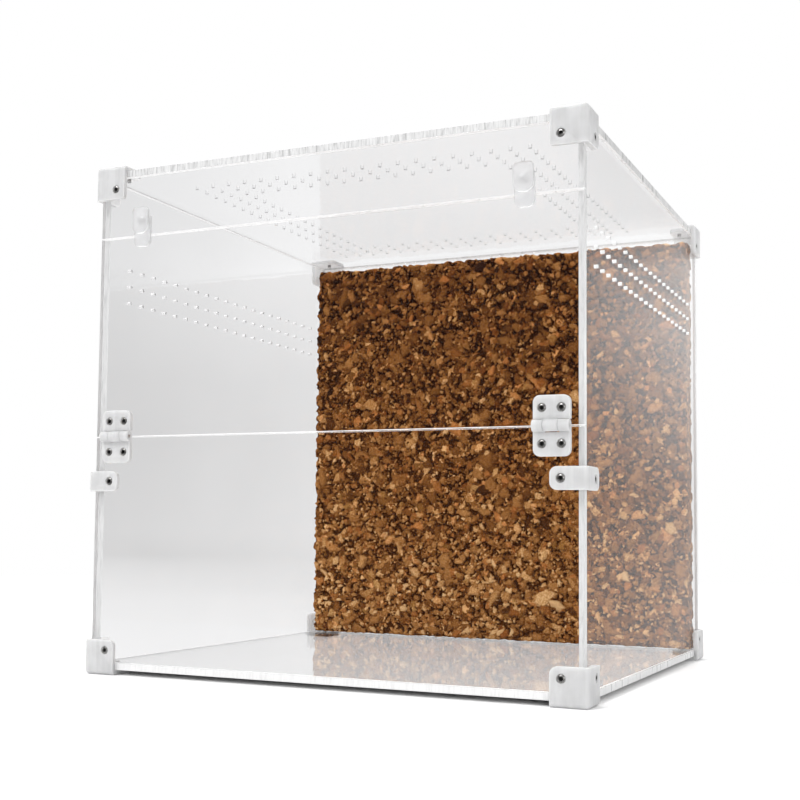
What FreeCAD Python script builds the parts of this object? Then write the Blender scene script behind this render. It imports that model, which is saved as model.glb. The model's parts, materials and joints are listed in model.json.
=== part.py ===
import FreeCAD, Part
import math
import os

import Sketcher

# Front-opening insect terrarium: a clear box on corner brackets, with a flap door in its upper front.
# X runs to the right, Y to the back, Z up. The origin is under the middle of the footprint.
# Every size below is in millimetres.
DRIVING_SIZES = (
    ("box_width", 300, "outside width of the clear box"),
    ("box_depth", 300, "outside depth"),
    ("box_height", 300, "outside height without the brackets"),
    ("sheet_thickness", 4, "clear sheet"),
    ("door_seam_height", 138, "seam under the door, above the underside of the box"),
    ("strip_seam_height", 259.2, "seam over the door"),
    ("seam_gap", 0.5, "width of both seams"),
    ("door_rest_gap", 0.15, "closed door to the front edges of the side panels"),
    ("vent_radius", 1.1, "vent hole, centre to corner"),
    ("vent_rows", 3, "rows in every vent band"),
    ("lid_vent_columns", 20, "holes along each side of the square ring in the lid"),
    ("lid_vent_pitch", 11.4, "spacing in the lid"),
    ("side_vent_columns", 20, "holes along each side panel"),
    ("side_vent_pitch", 12.92, "spacing along each side panel"),
    ("side_vent_row_pitch", 10.3, "spacing of the rows in a side panel"),
    ("side_vent_drop", 55.5, "top of the box to the upper row"),
    ("plate_thickness", 3, "white plastic of brackets, braces and hinge leaves"),
    ("bracket_reach", 17.5, "bracket plate, inward from the edge of the box"),
    ("bracket_screw_inset", 11.5, "edge of the box to a bracket screw"),
    ("fold_chamfer", 1.2, "outer folds of brackets and braces"),
    ("round_corner", 4, "rounded free corner of a plate"),
    ("tight_corner", 1.2, "chamfered free corner of each bracket's third plate"),
    ("brace_height", 12, "height of a side brace"),
    ("brace_centre", 111.4, "middle of a brace above the underside of the box"),
    ("brace_front_reach", 17.5, "front leg, inward from the edge of the box"),
    ("brace_side_reach", 17, "side leg, inward from the edge of the box"),
    ("brace_front_screw", 11.7, "edge of the box to the front screw"),
    ("brace_side_screw", 10.9, "edge of the box to the side screw"),
    ("hinge_inset", 16.3, "side of the box to the middle of a hinge"),
    ("hinge_width", 19.4, "width of a hinge leaf"),
    ("leaf_length", 15.6, "pin to the free edge of a leaf"),
    ("leaf_corner", 3.5, "free corners of a leaf"),
    ("leaf_screw_pitch", 10.25, "spacing of the two screws of a leaf"),
    ("leaf_screw_height", 9.2, "pin to the screws of a leaf"),
    ("knuckle_radius", 3.1, "outside of the hinge barrel"),
    ("knuckle_length", 5.6, "each outer knuckle"),
    ("knuckle_gap", 0.3, "between knuckles and round them"),
    ("knuckle_back_gap", 0.4, "barrel to the front panel behind it"),
    ("pin_radius", 1, "hinge pin"),
    ("pin_clearance", 0.05, "running fit of the pin, on the radius"),
    ("catch_inset", 31, "side of the box to the middle of a catch"),
    ("catch_width", 11, "width of a catch"),
    ("catch_tab_drop", 7.2, "tab, down from the seam over the door"),
    ("catch_boss_rise", 0.3, "seam over the door to the foot of the boss"),
    ("catch_boss_height", 15.7, "height of the boss"),
    ("catch_tab_lap", 10.7, "tab, up from the seam, where the boss hides its end"),
    ("catch_thickness", 2.5, "tab and boss, each"),
    ("catch_tab_corner", 3.5, "lower corners of the tab"),
    ("catch_boss_corner", 4.5, "lower corners of the boss"),
    ("catch_boss_top_corner", 2.5, "upper corners of the boss"),
    ("magnet_radius", 2, "magnet and striker discs"),
    ("magnet_thickness", 1.5, "magnet and striker discs"),
    ("magnet_clearance", 0.05, "pocket round a disc, on the radius"),
    ("screw_head_radius", 2.25, "screw head, centre to corner"),
    ("screw_head_height", 1.3, "screw head"),
    ("screw_shank_radius", 1.25, "screw shank, centre to corner"),
    ("screw_shank_length", 5, "screw shank under the head"),
    ("counterbore_radius", 2.5, "recess for the head, centre to corner"),
    ("counterbore_depth", 1.5, "recess for the head"),
    ("plate_hole_radius", 1.4, "screw hole in a white plate, centre to corner"),
    ("sheet_hole_clearance", 0.05, "screw hole in the clear sheet, over the shank"),
    ("cork_thickness", 20, "granulated cork slab"),
    ("cork_side_gap", 0.5, "cork to the side panels"),
    ("cork_floor_gap", 0.5, "cork to the floor"),
    ("cork_top_gap", 4.5, "cork to the lid"),
    ("cork_edge_depth", 3.5, "how far crumbled edges cut in"),
    ("cork_edge_step", 14, "spacing of the crumbs along the edge"),
    ("cork_hollow_depth", 2, "hollows between the chips of the cork's face"),
    ("cork_hollow_step", 32, "spacing of the hollows"),
)

# The many small round features are drawn with few sides, which keeps the model light.
DISC_SIDES = 8
HEAD_SIDES = 6
HOLE_SIDES = 4
GRIP_SIDES = 8

DOC = FreeCAD.newDocument("insect_terrarium")
SHEET = DOC.addObject("Spreadsheet::Sheet", "sizes")
for row, (alias, size, meaning) in enumerate(DRIVING_SIZES, 1):
    SHEET.set(f"A{row}", alias)
    SHEET.set(f"B{row}", str(size))
    SHEET.setAlias(f"B{row}", alias)
    SHEET.set(f"C{row}", meaning)
DOC.recompute()

# Expressions that several pieces share, written once.
WIDTH = "sizes.box_width"
DEPTH = "sizes.box_depth"
HEIGHT = "sizes.box_height"
SHEET_T = "sizes.sheet_thickness"
PLATE_T = "sizes.plate_thickness"
HINGE_REACH = "(sizes.knuckle_back_gap + 2 * sizes.knuckle_radius)"
FRONT = f"((-{DEPTH} - {PLATE_T} + {HINGE_REACH}) / 2)"
BACK = f"({FRONT} + {DEPTH})"
UNDERSIDE = PLATE_T
PIN_Y = f"({FRONT} - sizes.knuckle_back_gap - sizes.knuckle_radius)"
PIN_Z = f"({UNDERSIDE} + sizes.door_seam_height)"
DOOR_FACE = f"({FRONT} - sizes.door_rest_gap)"
STRIP_Z = f"({UNDERSIDE} + sizes.strip_seam_height)"
LOWER_HEIGHT = f"(sizes.door_seam_height - sizes.seam_gap / 2 - {SHEET_T})"
DOOR_HEIGHT = "(sizes.strip_seam_height - sizes.door_seam_height - sizes.seam_gap)"
STRIP_HEIGHT = f"({HEIGHT} - {SHEET_T} - sizes.strip_seam_height - sizes.seam_gap / 2)"
SIDE_DEPTH = f"({DEPTH} - 2 * {SHEET_T})"
WALL_HEIGHT = f"({HEIGHT} - 2 * {SHEET_T})"
SCREW_INSET = "sizes.bracket_screw_inset"
SHEET_HOLE = "(sizes.screw_shank_radius + sizes.sheet_hole_clearance)"
LEAF_SCREWS = (
    "(sizes.hinge_inset - sizes.leaf_screw_pitch / 2)",
    "(sizes.hinge_inset + sizes.leaf_screw_pitch / 2)",
)
MAGNET_RISE = "(sizes.catch_boss_rise + sizes.catch_boss_height / 2)"
MAGNET_POCKET = "(sizes.magnet_radius + sizes.magnet_clearance)"

NODES = []


def value(expression):
    return float(SHEET.evalExpression(str(expression)))


def attitude(x_direction, z_direction):
    """Rotation that turns a piece's own X and Z to two directions of the box."""
    x_axis = FreeCAD.Vector(*x_direction)
    z_axis = FreeCAD.Vector(*z_direction)
    return FreeCAD.Rotation(x_axis, z_axis.cross(x_axis), z_axis, "ZXY")


FACING_UP = attitude((1, 0, 0), (0, 0, 1))
FACING_FRONT = attitude((1, 0, 0), (0, -1, 0))
FACING_RIGHT = attitude((0, 1, 0), (1, 0, 0))
FACING_LEFT = attitude((0, 1, 0), (-1, 0, 0))


def place(item, rotation, x, y, z):
    item.Placement = FreeCAD.Placement(FreeCAD.Vector(), rotation)
    for axis, expression in (("x", x), ("y", y), ("z", z)):
        item.setExpression(f"Placement.Base.{axis}", expression)


def new_node(kind, label):
    item = DOC.addObject(kind, label)
    item.Label = label
    NODES.append(item)
    return item


def sketch_on(body, plane_role, name, offset="0"):
    planes = [feature for feature in body.Origin.OriginFeatures if feature.Role == plane_role]
    sketch = body.newObject("Sketcher::SketchObject", name)
    sketch.AttachmentSupport = [(planes[0], "")]
    sketch.MapMode = "FlatFace"
    sketch.setExpression("AttachmentOffset.Base.z", offset)
    return sketch


def drive(sketch, kind, geometry, expression):
    index = sketch.addConstraint(Sketcher.Constraint(kind, *geometry, value(expression)))
    sketch.setExpression(f"Constraints[{index}]", expression)


def locate(sketch, geometry, point, x, y):
    """Ties a point to the sketch's origin at x, y."""
    if value(x) == 0:
        sketch.addConstraint(Sketcher.Constraint("PointOnObject", geometry, point, -2))
    else:
        drive(sketch, "DistanceX", (-1, 1, geometry, point), x)
    if value(y) == 0:
        sketch.addConstraint(Sketcher.Constraint("PointOnObject", geometry, point, -1))
    else:
        drive(sketch, "DistanceY", (-1, 1, geometry, point), y)


def rectangle(sketch, width, height):
    """Rectangle from the sketch's origin, to the right and up."""
    right, top = value(width), value(height)
    corners = [FreeCAD.Vector(*corner, 0) for corner in ((0, 0), (right, 0), (right, top), (0, top))]
    first = sketch.GeometryCount
    for index in range(4):
        sketch.addGeometry(Part.LineSegment(corners[index], corners[(index + 1) % 4]))
    for index in range(4):
        following = first + (index + 1) % 4
        sketch.addConstraint(Sketcher.Constraint("Coincident", first + index, 2, following, 1))
        direction = "Vertical" if index % 2 else "Horizontal"
        sketch.addConstraint(Sketcher.Constraint(direction, first + index))
    locate(sketch, first, 1, "0", "0")
    drive(sketch, "DistanceX", (first, 1, first, 2), width)
    drive(sketch, "DistanceY", (first + 1, 1, first + 1, 2), height)


def polygon(sketch, sides, x, y, radius):
    """Regular polygon about x, y, with a corner on its right and its radius measured to a corner."""
    centre = FreeCAD.Vector(value(x), value(y), 0)
    reach = value(radius)
    turn = 2 * math.pi / sides
    corners = []
    for index in range(sides):
        corner = FreeCAD.Vector(math.cos(index * turn), math.sin(index * turn), 0)
        corners.append(centre + corner * reach)
    ring = sketch.addGeometry(Part.Circle(centre, FreeCAD.Vector(0, 0, 1), reach), True)
    first = ring + 1
    for index in range(sides):
        sketch.addGeometry(Part.LineSegment(corners[index], corners[(index + 1) % sides]), False)
    rules = [Sketcher.Constraint("Horizontal", ring, 3, first, 1)]
    for index in range(sides):
        side = first + index
        rules.append(Sketcher.Constraint("Coincident", side, 2, first + (index + 1) % sides, 1))
        rules.append(Sketcher.Constraint("PointOnObject", side, 1, ring))
        if index:
            rules.append(Sketcher.Constraint("Equal", first, side))
    sketch.addConstraint(rules)
    drive(sketch, "Radius", (ring,), radius)
    locate(sketch, ring, 3, x, y)


def round_hole(sketch, x, y, radius):
    centre = FreeCAD.Vector(value(x), value(y), 0)
    ring = sketch.addGeometry(Part.Circle(centre, FreeCAD.Vector(0, 0, 1), value(radius)))
    locate(sketch, ring, 3, x, y)
    drive(sketch, "Radius", (ring,), radius)


def pad(body, sketch, length, reverse=False):
    feature = body.newObject("PartDesign::Pad", f"{sketch.Name}_pad")
    feature.Profile = sketch
    feature.Reversed = reverse
    feature.setExpression("Length", length)
    sketch.Visibility = False
    return feature


def pocket(body, sketch, reverse, depth=None):
    """Pocket of the stated depth, or right through the piece."""
    feature = body.newObject("PartDesign::Pocket", f"{sketch.Name}_pocket")
    feature.Profile = sketch
    feature.Reversed = reverse
    if depth is None:
        feature.Type = "ThroughAll"
    else:
        feature.setExpression("Length", depth)
    sketch.Visibility = False
    return feature


def row_of_pockets(body, feature, sketch, axis, pitch, copies):
    pattern = body.newObject("PartDesign::LinearPattern", f"{feature.Name}_row")
    pattern.Originals = [feature]
    pattern.Direction = (sketch, [axis])
    pattern.Mode = "Spacing"
    pattern.setExpression("Offset", pitch)
    pattern.setExpression("Occurrences", copies)
    body.Tip = pattern
    return pattern


def soften_edges(body, kind, name, size, points):
    """Fillet or Chamfer along the edges that pass through the given points of the piece."""
    DOC.recompute()
    base = body.Tip
    edges = []
    for point in points:
        spot = Part.Vertex(FreeCAD.Vector(*[value(item) for item in point]))
        for number, edge in enumerate(base.Shape.Edges, 1):
            if edge.distToShape(spot)[0] < 1e-6:
                edges.append(f"Edge{number}")
    feature = body.newObject(f"PartDesign::{kind}", name)
    feature.Base = (base, edges)
    feature.setExpression("Radius" if kind == "Fillet" else "Size", size)


# Clear sheet panels


def panel(label, width, height):
    """Flat panel, drawn from its lower left corner and one sheet thick."""
    body = new_node("PartDesign::Body", label)
    outline = sketch_on(body, "XY_Plane", f"{label}_outline")
    rectangle(outline, width, height)
    pad(body, outline, SHEET_T)
    return body


def drill(body, places, name="screw_holes", radius=SHEET_HOLE):
    """Screw holes right through a panel."""
    holes = sketch_on(body, "XY_Plane", f"{body.Label}_{name}")
    for x, y in places:
        polygon(holes, HOLE_SIDES, x, y, radius)
    return pocket(body, holes, True), holes


def both_sides(places):
    """The given places and their mirror images on a piece as wide as the box."""
    return [(x, y) for x, y in places] + [(f"({WIDTH} - {x})", y) for x, y in places]


def corner_places(width, height, low):
    """One bracket screw in each corner of a panel whose outline starts low from the box's edges."""
    near = f"({SCREW_INSET} - {low})"
    return [
        (x, y)
        for x in (near, f"({width} - {near})")
        for y in (near, f"({height} - {near})")
    ]


def horizontal_panels():
    floor = panel("bottom_panel", WIDTH, DEPTH)
    place(floor, FACING_UP, f"-{WIDTH} / 2", FRONT, UNDERSIDE)
    lid = panel("top_panel", WIDTH, DEPTH)
    place(lid, FACING_UP, f"-{WIDTH} / 2", FRONT, f"{UNDERSIDE} + {HEIGHT} - {SHEET_T}")
    for body in (floor, lid):
        drill(body, corner_places(WIDTH, DEPTH, "0"))
    cut_lid_vents(lid)


def cut_lid_vents(lid):
    """Square ring of vent holes: two full bands along X, then two shorter ones along Y between them."""
    pitch = "sizes.lid_vent_pitch"
    rows = range(int(value("sizes.vent_rows")))
    ring = "(sizes.lid_vent_columns - 1) / 2"
    inner = "(sizes.lid_vent_columns - 2 * sizes.vent_rows)"

    def band(name, start, across, lengthways):
        """Holes of one column in both bands: start is along the band, across is its panel size."""
        places = []
        for row in rows:
            for sign in ("-", "+"):
                offset = f"({across} / 2 {sign} ({ring} - {row}) * {pitch})"
                places.append((start, offset) if lengthways else (offset, start))
        return drill(lid, places, name, "sizes.vent_radius")

    first_x = f"({WIDTH} / 2 - {ring} * {pitch})"
    feature, sketch = band("front_and_back_vents", first_x, DEPTH, True)
    row_of_pockets(lid, feature, sketch, "H_Axis", pitch, "sizes.lid_vent_columns")
    first_y = f"({DEPTH} / 2 - ({inner} - 1) / 2 * {pitch})"
    feature, sketch = band("left_and_right_vents", first_y, WIDTH, False)
    row_of_pockets(lid, feature, sketch, "V_Axis", pitch, inner)


def side_panels():
    left_end = f"-{WIDTH} / 2"
    right_end = f"{WIDTH} / 2 - {SHEET_T}"
    for label, x in (("left_side_panel", left_end), ("right_side_panel", right_end)):
        body = panel(label, SIDE_DEPTH, WALL_HEIGHT)
        place(body, FACING_RIGHT, x, f"{FRONT} + {SHEET_T}", f"{UNDERSIDE} + {SHEET_T}")
        brace_screw = (f"(sizes.brace_side_screw - {SHEET_T})", f"(sizes.brace_centre - {SHEET_T})")
        drill(body, corner_places(SIDE_DEPTH, WALL_HEIGHT, SHEET_T) + [brace_screw])
        cut_side_vents(body)


def cut_side_vents(body):
    """Band of vent holes near the top of a side panel, in rows along its depth."""
    start = f"({SIDE_DEPTH} / 2 - (sizes.side_vent_columns - 1) / 2 * sizes.side_vent_pitch)"
    top_row = f"({HEIGHT} - {SHEET_T} - sizes.side_vent_drop)"
    rows = range(int(value("sizes.vent_rows")))
    places = [(start, f"({top_row} - {row} * sizes.side_vent_row_pitch)") for row in rows]
    feature, sketch = drill(body, places, "vents", "sizes.vent_radius")
    row_of_pockets(body, feature, sketch, "H_Axis", "sizes.side_vent_pitch", "sizes.side_vent_columns")


def back_panel():
    body = panel("back_panel", WIDTH, WALL_HEIGHT)
    place(body, FACING_FRONT, f"-{WIDTH} / 2", BACK, f"{UNDERSIDE} + {SHEET_T}")
    low = f"({SCREW_INSET} - {SHEET_T})"
    drill(body, both_sides([(SCREW_INSET, low), (SCREW_INSET, f"({WALL_HEIGHT} - {low})")]))


def front_panels():
    left = f"-{WIDTH} / 2"
    lower = panel("front_lower_panel", WIDTH, LOWER_HEIGHT)
    place(lower, FACING_FRONT, left, f"{FRONT} + {SHEET_T}", f"{UNDERSIDE} + {SHEET_T}")
    leaf_y = f"(sizes.door_seam_height - sizes.leaf_screw_height - {SHEET_T})"
    places = [
        (SCREW_INSET, f"({SCREW_INSET} - {SHEET_T})"),
        ("sizes.brace_front_screw", f"(sizes.brace_centre - {SHEET_T})"),
    ]
    places += [(x, leaf_y) for x in LEAF_SCREWS]
    drill(lower, both_sides(places))

    door = panel("door_panel", WIDTH, DOOR_HEIGHT)
    place(door, FACING_FRONT, left, f"{DOOR_FACE} + {SHEET_T}", f"{PIN_Z} + sizes.seam_gap / 2")
    drill(door, both_sides([(x, "(sizes.leaf_screw_height - sizes.seam_gap / 2)") for x in LEAF_SCREWS]))

    strip = panel("front_top_strip", WIDTH, STRIP_HEIGHT)
    place(strip, FACING_FRONT, left, f"{FRONT} + {SHEET_T}", f"{STRIP_Z} + sizes.seam_gap / 2")
    screw_y = f"({STRIP_HEIGHT} + {SHEET_T} - {SCREW_INSET})"
    drill(strip, both_sides([(SCREW_INSET, screw_y)]))
    recesses = sketch_on(strip, "XY_Plane", "striker_recesses", SHEET_T)
    for x, y in both_sides([("sizes.catch_inset", f"({MAGNET_RISE} - sizes.seam_gap / 2)")]):
        polygon(recesses, DISC_SIDES, x, y, MAGNET_POCKET)
    pocket(strip, recesses, False, "sizes.magnet_thickness")


# White plastic brackets and braces


def plate(body, plane_role, width, height):
    """One plate of an angle, on an origin plane and thickening towards the positive side."""
    outline = sketch_on(body, plane_role, f"{body.Label}_{plane_role[:2]}")
    rectangle(outline, width, height)
    pad(body, outline, PLATE_T, reverse=plane_role == "XZ_Plane")


def screw_seat(body, plane_role, x, y, offset="0", inwards=1):
    """Counterbored screw hole through the plate that lies on an origin plane."""
    reverse = (plane_role == "XZ_Plane") != (inwards > 0)
    name = f"{body.Label}_{plane_role[:2]}"
    for part, sides, radius, depth in (
        ("recess", HEAD_SIDES, "sizes.counterbore_radius", "sizes.counterbore_depth"),
        ("hole", HOLE_SIDES, "sizes.plate_hole_radius", PLATE_T),
    ):
        sketch = sketch_on(body, plane_role, f"{name}_{part}", offset)
        places = x if isinstance(x, tuple) else (x,)
        for across in places:
            polygon(sketch, sides, across, y, radius)
        pocket(body, sketch, reverse, depth)


def corner_bracket(label):
    """Three plates that meet in a corner at the piece's own origin, with one screw seat each."""
    body = new_node("PartDesign::Body", label)
    leg = f"({PLATE_T} + sizes.bracket_reach)"
    middle = f"{PLATE_T} / 2"
    half = f"{leg} / 2"
    for plane_role in ("XY_Plane", "XZ_Plane", "YZ_Plane"):
        plate(body, plane_role, leg, leg)
    free = [(leg, leg, middle), (middle, leg, leg)]
    soften_edges(body, "Fillet", f"{label}_free_corners", "sizes.round_corner", free)
    soften_edges(body, "Chamfer", f"{label}_tight_corner", "sizes.tight_corner", [(leg, middle, leg)])
    folds = [(half, 0, 0), (0, half, 0), (0, 0, half)]
    soften_edges(body, "Chamfer", f"{label}_folds", "sizes.fold_chamfer", folds)
    inset = f"({PLATE_T} + {SCREW_INSET})"
    for plane_role in ("XY_Plane", "XZ_Plane", "YZ_Plane"):
        screw_seat(body, plane_role, inset, inset)
    return body


def bracket_attitude(right, back, up):
    """Turns a bracket's plates inward. Its tight corner goes to the front on top and to the side below."""
    along_x = FreeCAD.Vector(-right, 0, 0)
    along_y = FreeCAD.Vector(0, -back, 0)
    along_z = FreeCAD.Vector(0, 0, -up)
    first, tight = (along_x, along_y) if up > 0 else (along_y, along_x)
    third = along_z
    if first.dot(tight.cross(third)) < 0:
        first, third = third, first
    return FreeCAD.Rotation(first, tight, third, "ZXY")


def corners_of_box():
    """Name, signs and position of each of the eight corners, outside the brackets."""
    for height, up in (("bottom", -1), ("top", 1)):
        for end, back in (("front", -1), ("back", 1)):
            for side, right in (("left", -1), ("right", 1)):
                x = f"{right} * ({WIDTH} / 2 + {PLATE_T})"
                y = f"{FRONT} - {PLATE_T}" if back < 0 else f"{BACK} + {PLATE_T}"
                z = "0" if up < 0 else f"{HEIGHT} + 2 * {PLATE_T}"
                yield f"{end}_{height}_{side}", (right, back, up), (x, y, z)


def corner_brackets():
    for name, signs, position in corners_of_box():
        place(corner_bracket(f"corner_bracket_{name}"), bracket_attitude(*signs), *position)


def side_braces():
    """Angles that tie the lower front panel to the side panels, just under the hinges."""
    front_leg = f"({PLATE_T} + sizes.brace_front_reach)"
    side_leg = f"({PLATE_T} + sizes.brace_side_reach)"
    height = "sizes.brace_height"
    middle = f"{PLATE_T} / 2"
    bottom = f"{UNDERSIDE} + sizes.brace_centre - {height} / 2"
    turned = attitude((-1, 0, 0), (0, 0, -1))
    for side, sign, rotation, z in (
        ("left", -1, FACING_UP, bottom),
        ("right", 1, turned, f"{bottom} + {height}"),
    ):
        body = new_node("PartDesign::Body", f"side_brace_{side}")
        plate(body, "XZ_Plane", front_leg, height)
        plate(body, "YZ_Plane", side_leg, height)
        ends = [(front_leg, middle, up) for up in (0, height)]
        ends += [(middle, side_leg, up) for up in (0, height)]
        soften_edges(body, "Fillet", f"{body.Label}_free_corners", "sizes.round_corner", ends)
        soften_edges(body, "Chamfer", f"{body.Label}_fold", "sizes.fold_chamfer", [(0, 0, f"{height} / 2")])
        screw_seat(body, "XZ_Plane", f"({PLATE_T} + sizes.brace_front_screw)", f"({height} / 2)")
        screw_seat(body, "YZ_Plane", f"({PLATE_T} + sizes.brace_side_screw)", f"({height} / 2)")
        place(body, rotation, f"{sign} * ({WIDTH} / 2 + {PLATE_T})", f"{FRONT} - {PLATE_T}", z)


# Hinges


def knuckle(body, name, pin_offset, start, length):
    """One knuckle of the barrel and the web that joins it to the leaf, from start along the pin."""
    sketch = sketch_on(body, "YZ_Plane", name, start)
    radius = value("sizes.knuckle_radius")
    centre = value(pin_offset)
    front = value(PLATE_T)
    web_top = value("sizes.knuckle_radius + sizes.knuckle_gap")
    meeting = math.sqrt(radius**2 - (centre - front) ** 2)
    points = [
        FreeCAD.Vector(*point, 0)
        for point in ((centre - radius, 0), (centre - radius, web_top), (front, web_top), (front, meeting))
    ]
    sketch.addGeometry(Part.LineSegment(points[0], points[1]))
    sketch.addGeometry(Part.LineSegment(points[1], points[2]))
    sketch.addGeometry(Part.LineSegment(points[2], points[3]))
    circle = Part.Circle(FreeCAD.Vector(centre, 0, 0), FreeCAD.Vector(0, 0, 1), radius)
    start_angle = -math.pi
    end_angle = math.atan2(meeting, front - centre)
    barrel = sketch.addGeometry(Part.ArcOfCircle(circle, start_angle, end_angle))
    sketch.addConstraint([
        Sketcher.Constraint("Coincident", 0, 2, 1, 1),
        Sketcher.Constraint("Coincident", 1, 2, 2, 1),
        Sketcher.Constraint("Coincident", 2, 2, barrel, 2),
        Sketcher.Constraint("Coincident", barrel, 1, 0, 1),
        Sketcher.Constraint("Vertical", 0),
        Sketcher.Constraint("Horizontal", 1),
        Sketcher.Constraint("Vertical", 2),
        Sketcher.Constraint("PointOnObject", 0, 1, -1),
        Sketcher.Constraint("PointOnObject", barrel, 3, -1),
    ])
    drive(sketch, "DistanceX", (-1, 1, barrel, 3), pin_offset)
    drive(sketch, "Radius", (barrel,), "sizes.knuckle_radius")
    drive(sketch, "DistanceY", (0, 1, 0, 2), "sizes.knuckle_radius + sizes.knuckle_gap")
    drive(sketch, "DistanceX", (-1, 1, 2, 1), PLATE_T)
    pad(body, sketch, length)


def hinge_leaf(label, pin_offset, knuckles, grips_pin):
    """Leaf with its back at Y = 0, growing up from the pin, with the given knuckles as (start, length)."""
    body = new_node("PartDesign::Body", label)
    width = "sizes.hinge_width"
    foot = "(sizes.knuckle_radius + sizes.knuckle_gap)"
    outline = sketch_on(body, "XY_Plane", f"{label}_outline", foot)
    rectangle(outline, width, PLATE_T)
    pad(body, outline, f"sizes.leaf_length - {foot}")
    tips = [(across, f"{PLATE_T} / 2", "sizes.leaf_length") for across in (0, width)]
    soften_edges(body, "Fillet", f"{label}_corners", "sizes.leaf_corner", tips)
    for number, (start, length) in enumerate(knuckles, 1):
        knuckle(body, f"{label}_knuckle_{number}", pin_offset, start, length)
    bore = sketch_on(body, "YZ_Plane", f"{label}_bore")
    if grips_pin:
        flats = f"sizes.pin_radius / cos(180 deg / {GRIP_SIDES})"
        polygon(bore, GRIP_SIDES, pin_offset, "0", flats)
    else:
        round_hole(bore, pin_offset, "0", "sizes.pin_radius + sizes.pin_clearance")
    pocket(body, bore, True)
    across = tuple(f"({width} {sign} sizes.leaf_screw_pitch) / 2" for sign in "-+")
    screw_seat(body, "XZ_Plane", across, "sizes.leaf_screw_height", f"-{PLATE_T}", -1)
    return body


def hinges():
    """Two butt hinges. The lower leaf has the outer knuckles and grips the pin that the door leaf turns on."""
    pin_offset = "(sizes.knuckle_back_gap + sizes.knuckle_radius)"
    width = "sizes.hinge_width"
    outer = "sizes.knuckle_length"
    inner_start = f"{outer} + sizes.knuckle_gap"
    lower_knuckles = (("0", outer), (f"{width} - {outer}", outer))
    door_knuckles = ((inner_start, f"{width} - 2 * ({inner_start})"),)
    hanging = attitude((1, 0, 0), (0, 0, -1))
    standing = attitude((-1, 0, 0), (0, 0, 1))
    for side, sign in (("left", -1), ("right", 1)):
        centre = f"{sign} * ({WIDTH} / 2 - sizes.hinge_inset)"
        lower = hinge_leaf(f"hinge_lower_leaf_{side}", pin_offset, lower_knuckles, True)
        place(lower, hanging, f"{centre} - {width} / 2", FRONT, PIN_Z)
        door_pin_offset = f"({pin_offset} - sizes.door_rest_gap)"
        door = hinge_leaf(f"hinge_door_leaf_{side}", door_pin_offset, door_knuckles, False)
        place(door, standing, f"{centre} + {width} / 2", DOOR_FACE, PIN_Z)
        pin = new_node("Part::Cylinder", f"hinge_pin_{side}")
        pin.setExpression("Radius", "sizes.pin_radius")
        pin.setExpression("Height", width)
        place(pin, FACING_RIGHT, f"{centre} - {width} / 2", PIN_Y, PIN_Z)


# Catches


def disc(label, x, y, z):
    """Magnet or striker, standing upright, with its front face at y."""
    body = new_node("Part::Prism", label)
    body.Polygon = DISC_SIDES
    body.setExpression("Circumradius", "sizes.magnet_radius")
    body.setExpression("Height", "sizes.magnet_thickness")
    place(body, FACING_FRONT, x, f"{y} + sizes.magnet_thickness", z)


def catches():
    """Two catches: a tab on the door that laps over the top strip, a boss on it and a magnet between."""
    width = "sizes.catch_width"
    depth = "sizes.catch_thickness"
    for side, sign in (("left", -1), ("right", 1)):
        centre = f"{sign} * ({WIDTH} / 2 - sizes.catch_inset)"
        tab = new_node("PartDesign::Body", f"catch_tab_{side}")
        outline = sketch_on(tab, "XY_Plane", f"{tab.Label}_outline")
        rectangle(outline, width, "sizes.catch_tab_drop + sizes.catch_tab_lap")
        pad(tab, outline, depth)
        corners = [(across, 0, f"{depth} / 2") for across in (0, width)]
        soften_edges(tab, "Fillet", f"{tab.Label}_corners", "sizes.catch_tab_corner", corners)
        place(tab, FACING_FRONT, f"{centre} - {width} / 2", DOOR_FACE, f"{STRIP_Z} - sizes.catch_tab_drop")

        boss = new_node("PartDesign::Body", f"catch_boss_{side}")
        outline = sketch_on(boss, "XY_Plane", f"{boss.Label}_outline")
        height = "sizes.catch_boss_height"
        rectangle(outline, width, height)
        pad(boss, outline, depth)
        for level, up, radius in (
            ("lower", 0, "sizes.catch_boss_corner"),
            ("upper", height, "sizes.catch_boss_top_corner"),
        ):
            corners = [(across, up, f"{depth} / 2") for across in (0, width)]
            soften_edges(boss, "Fillet", f"{boss.Label}_{level}_corners", radius, corners)
        recess = sketch_on(boss, "XY_Plane", f"{boss.Label}_magnet_recess")
        polygon(recess, DISC_SIDES, f"({width} / 2)", f"({height} / 2)", MAGNET_POCKET)
        pocket(boss, recess, True, "sizes.magnet_thickness")
        boss_z = f"{STRIP_Z} + sizes.catch_boss_rise"
        place(boss, FACING_FRONT, f"{centre} - {width} / 2", f"{DOOR_FACE} - {depth}", boss_z)

        magnet_z = f"{STRIP_Z} + {MAGNET_RISE}"
        disc(f"catch_magnet_{side}", centre, f"{DOOR_FACE} - {depth} - sizes.magnet_thickness", magnet_z)
        disc(f"catch_striker_{side}", centre, FRONT, magnet_z)


# Screws


def button_screw():
    """One screw, with its own Z pointing out of the plate and its origin in the plate's face."""
    head = DOC.addObject("Part::Prism", "screw_head")
    head.Polygon = HEAD_SIDES
    head.setExpression("Circumradius", "sizes.screw_head_radius")
    head.setExpression("Height", "sizes.screw_head_height")
    head.setExpression("Placement.Base.z", "-sizes.counterbore_depth")
    shank = DOC.addObject("Part::Prism", "screw_shank")
    shank.Polygon = HOLE_SIDES
    shank.setExpression("Circumradius", "sizes.screw_shank_radius")
    shank.setExpression("Height", "sizes.screw_shank_length")
    shank.setExpression("Placement.Base.z", "-sizes.counterbore_depth - sizes.screw_shank_length")
    screw = DOC.addObject("Part::Fuse", "screw")
    screw.Base = head
    screw.Tool = shank
    return screw


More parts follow.
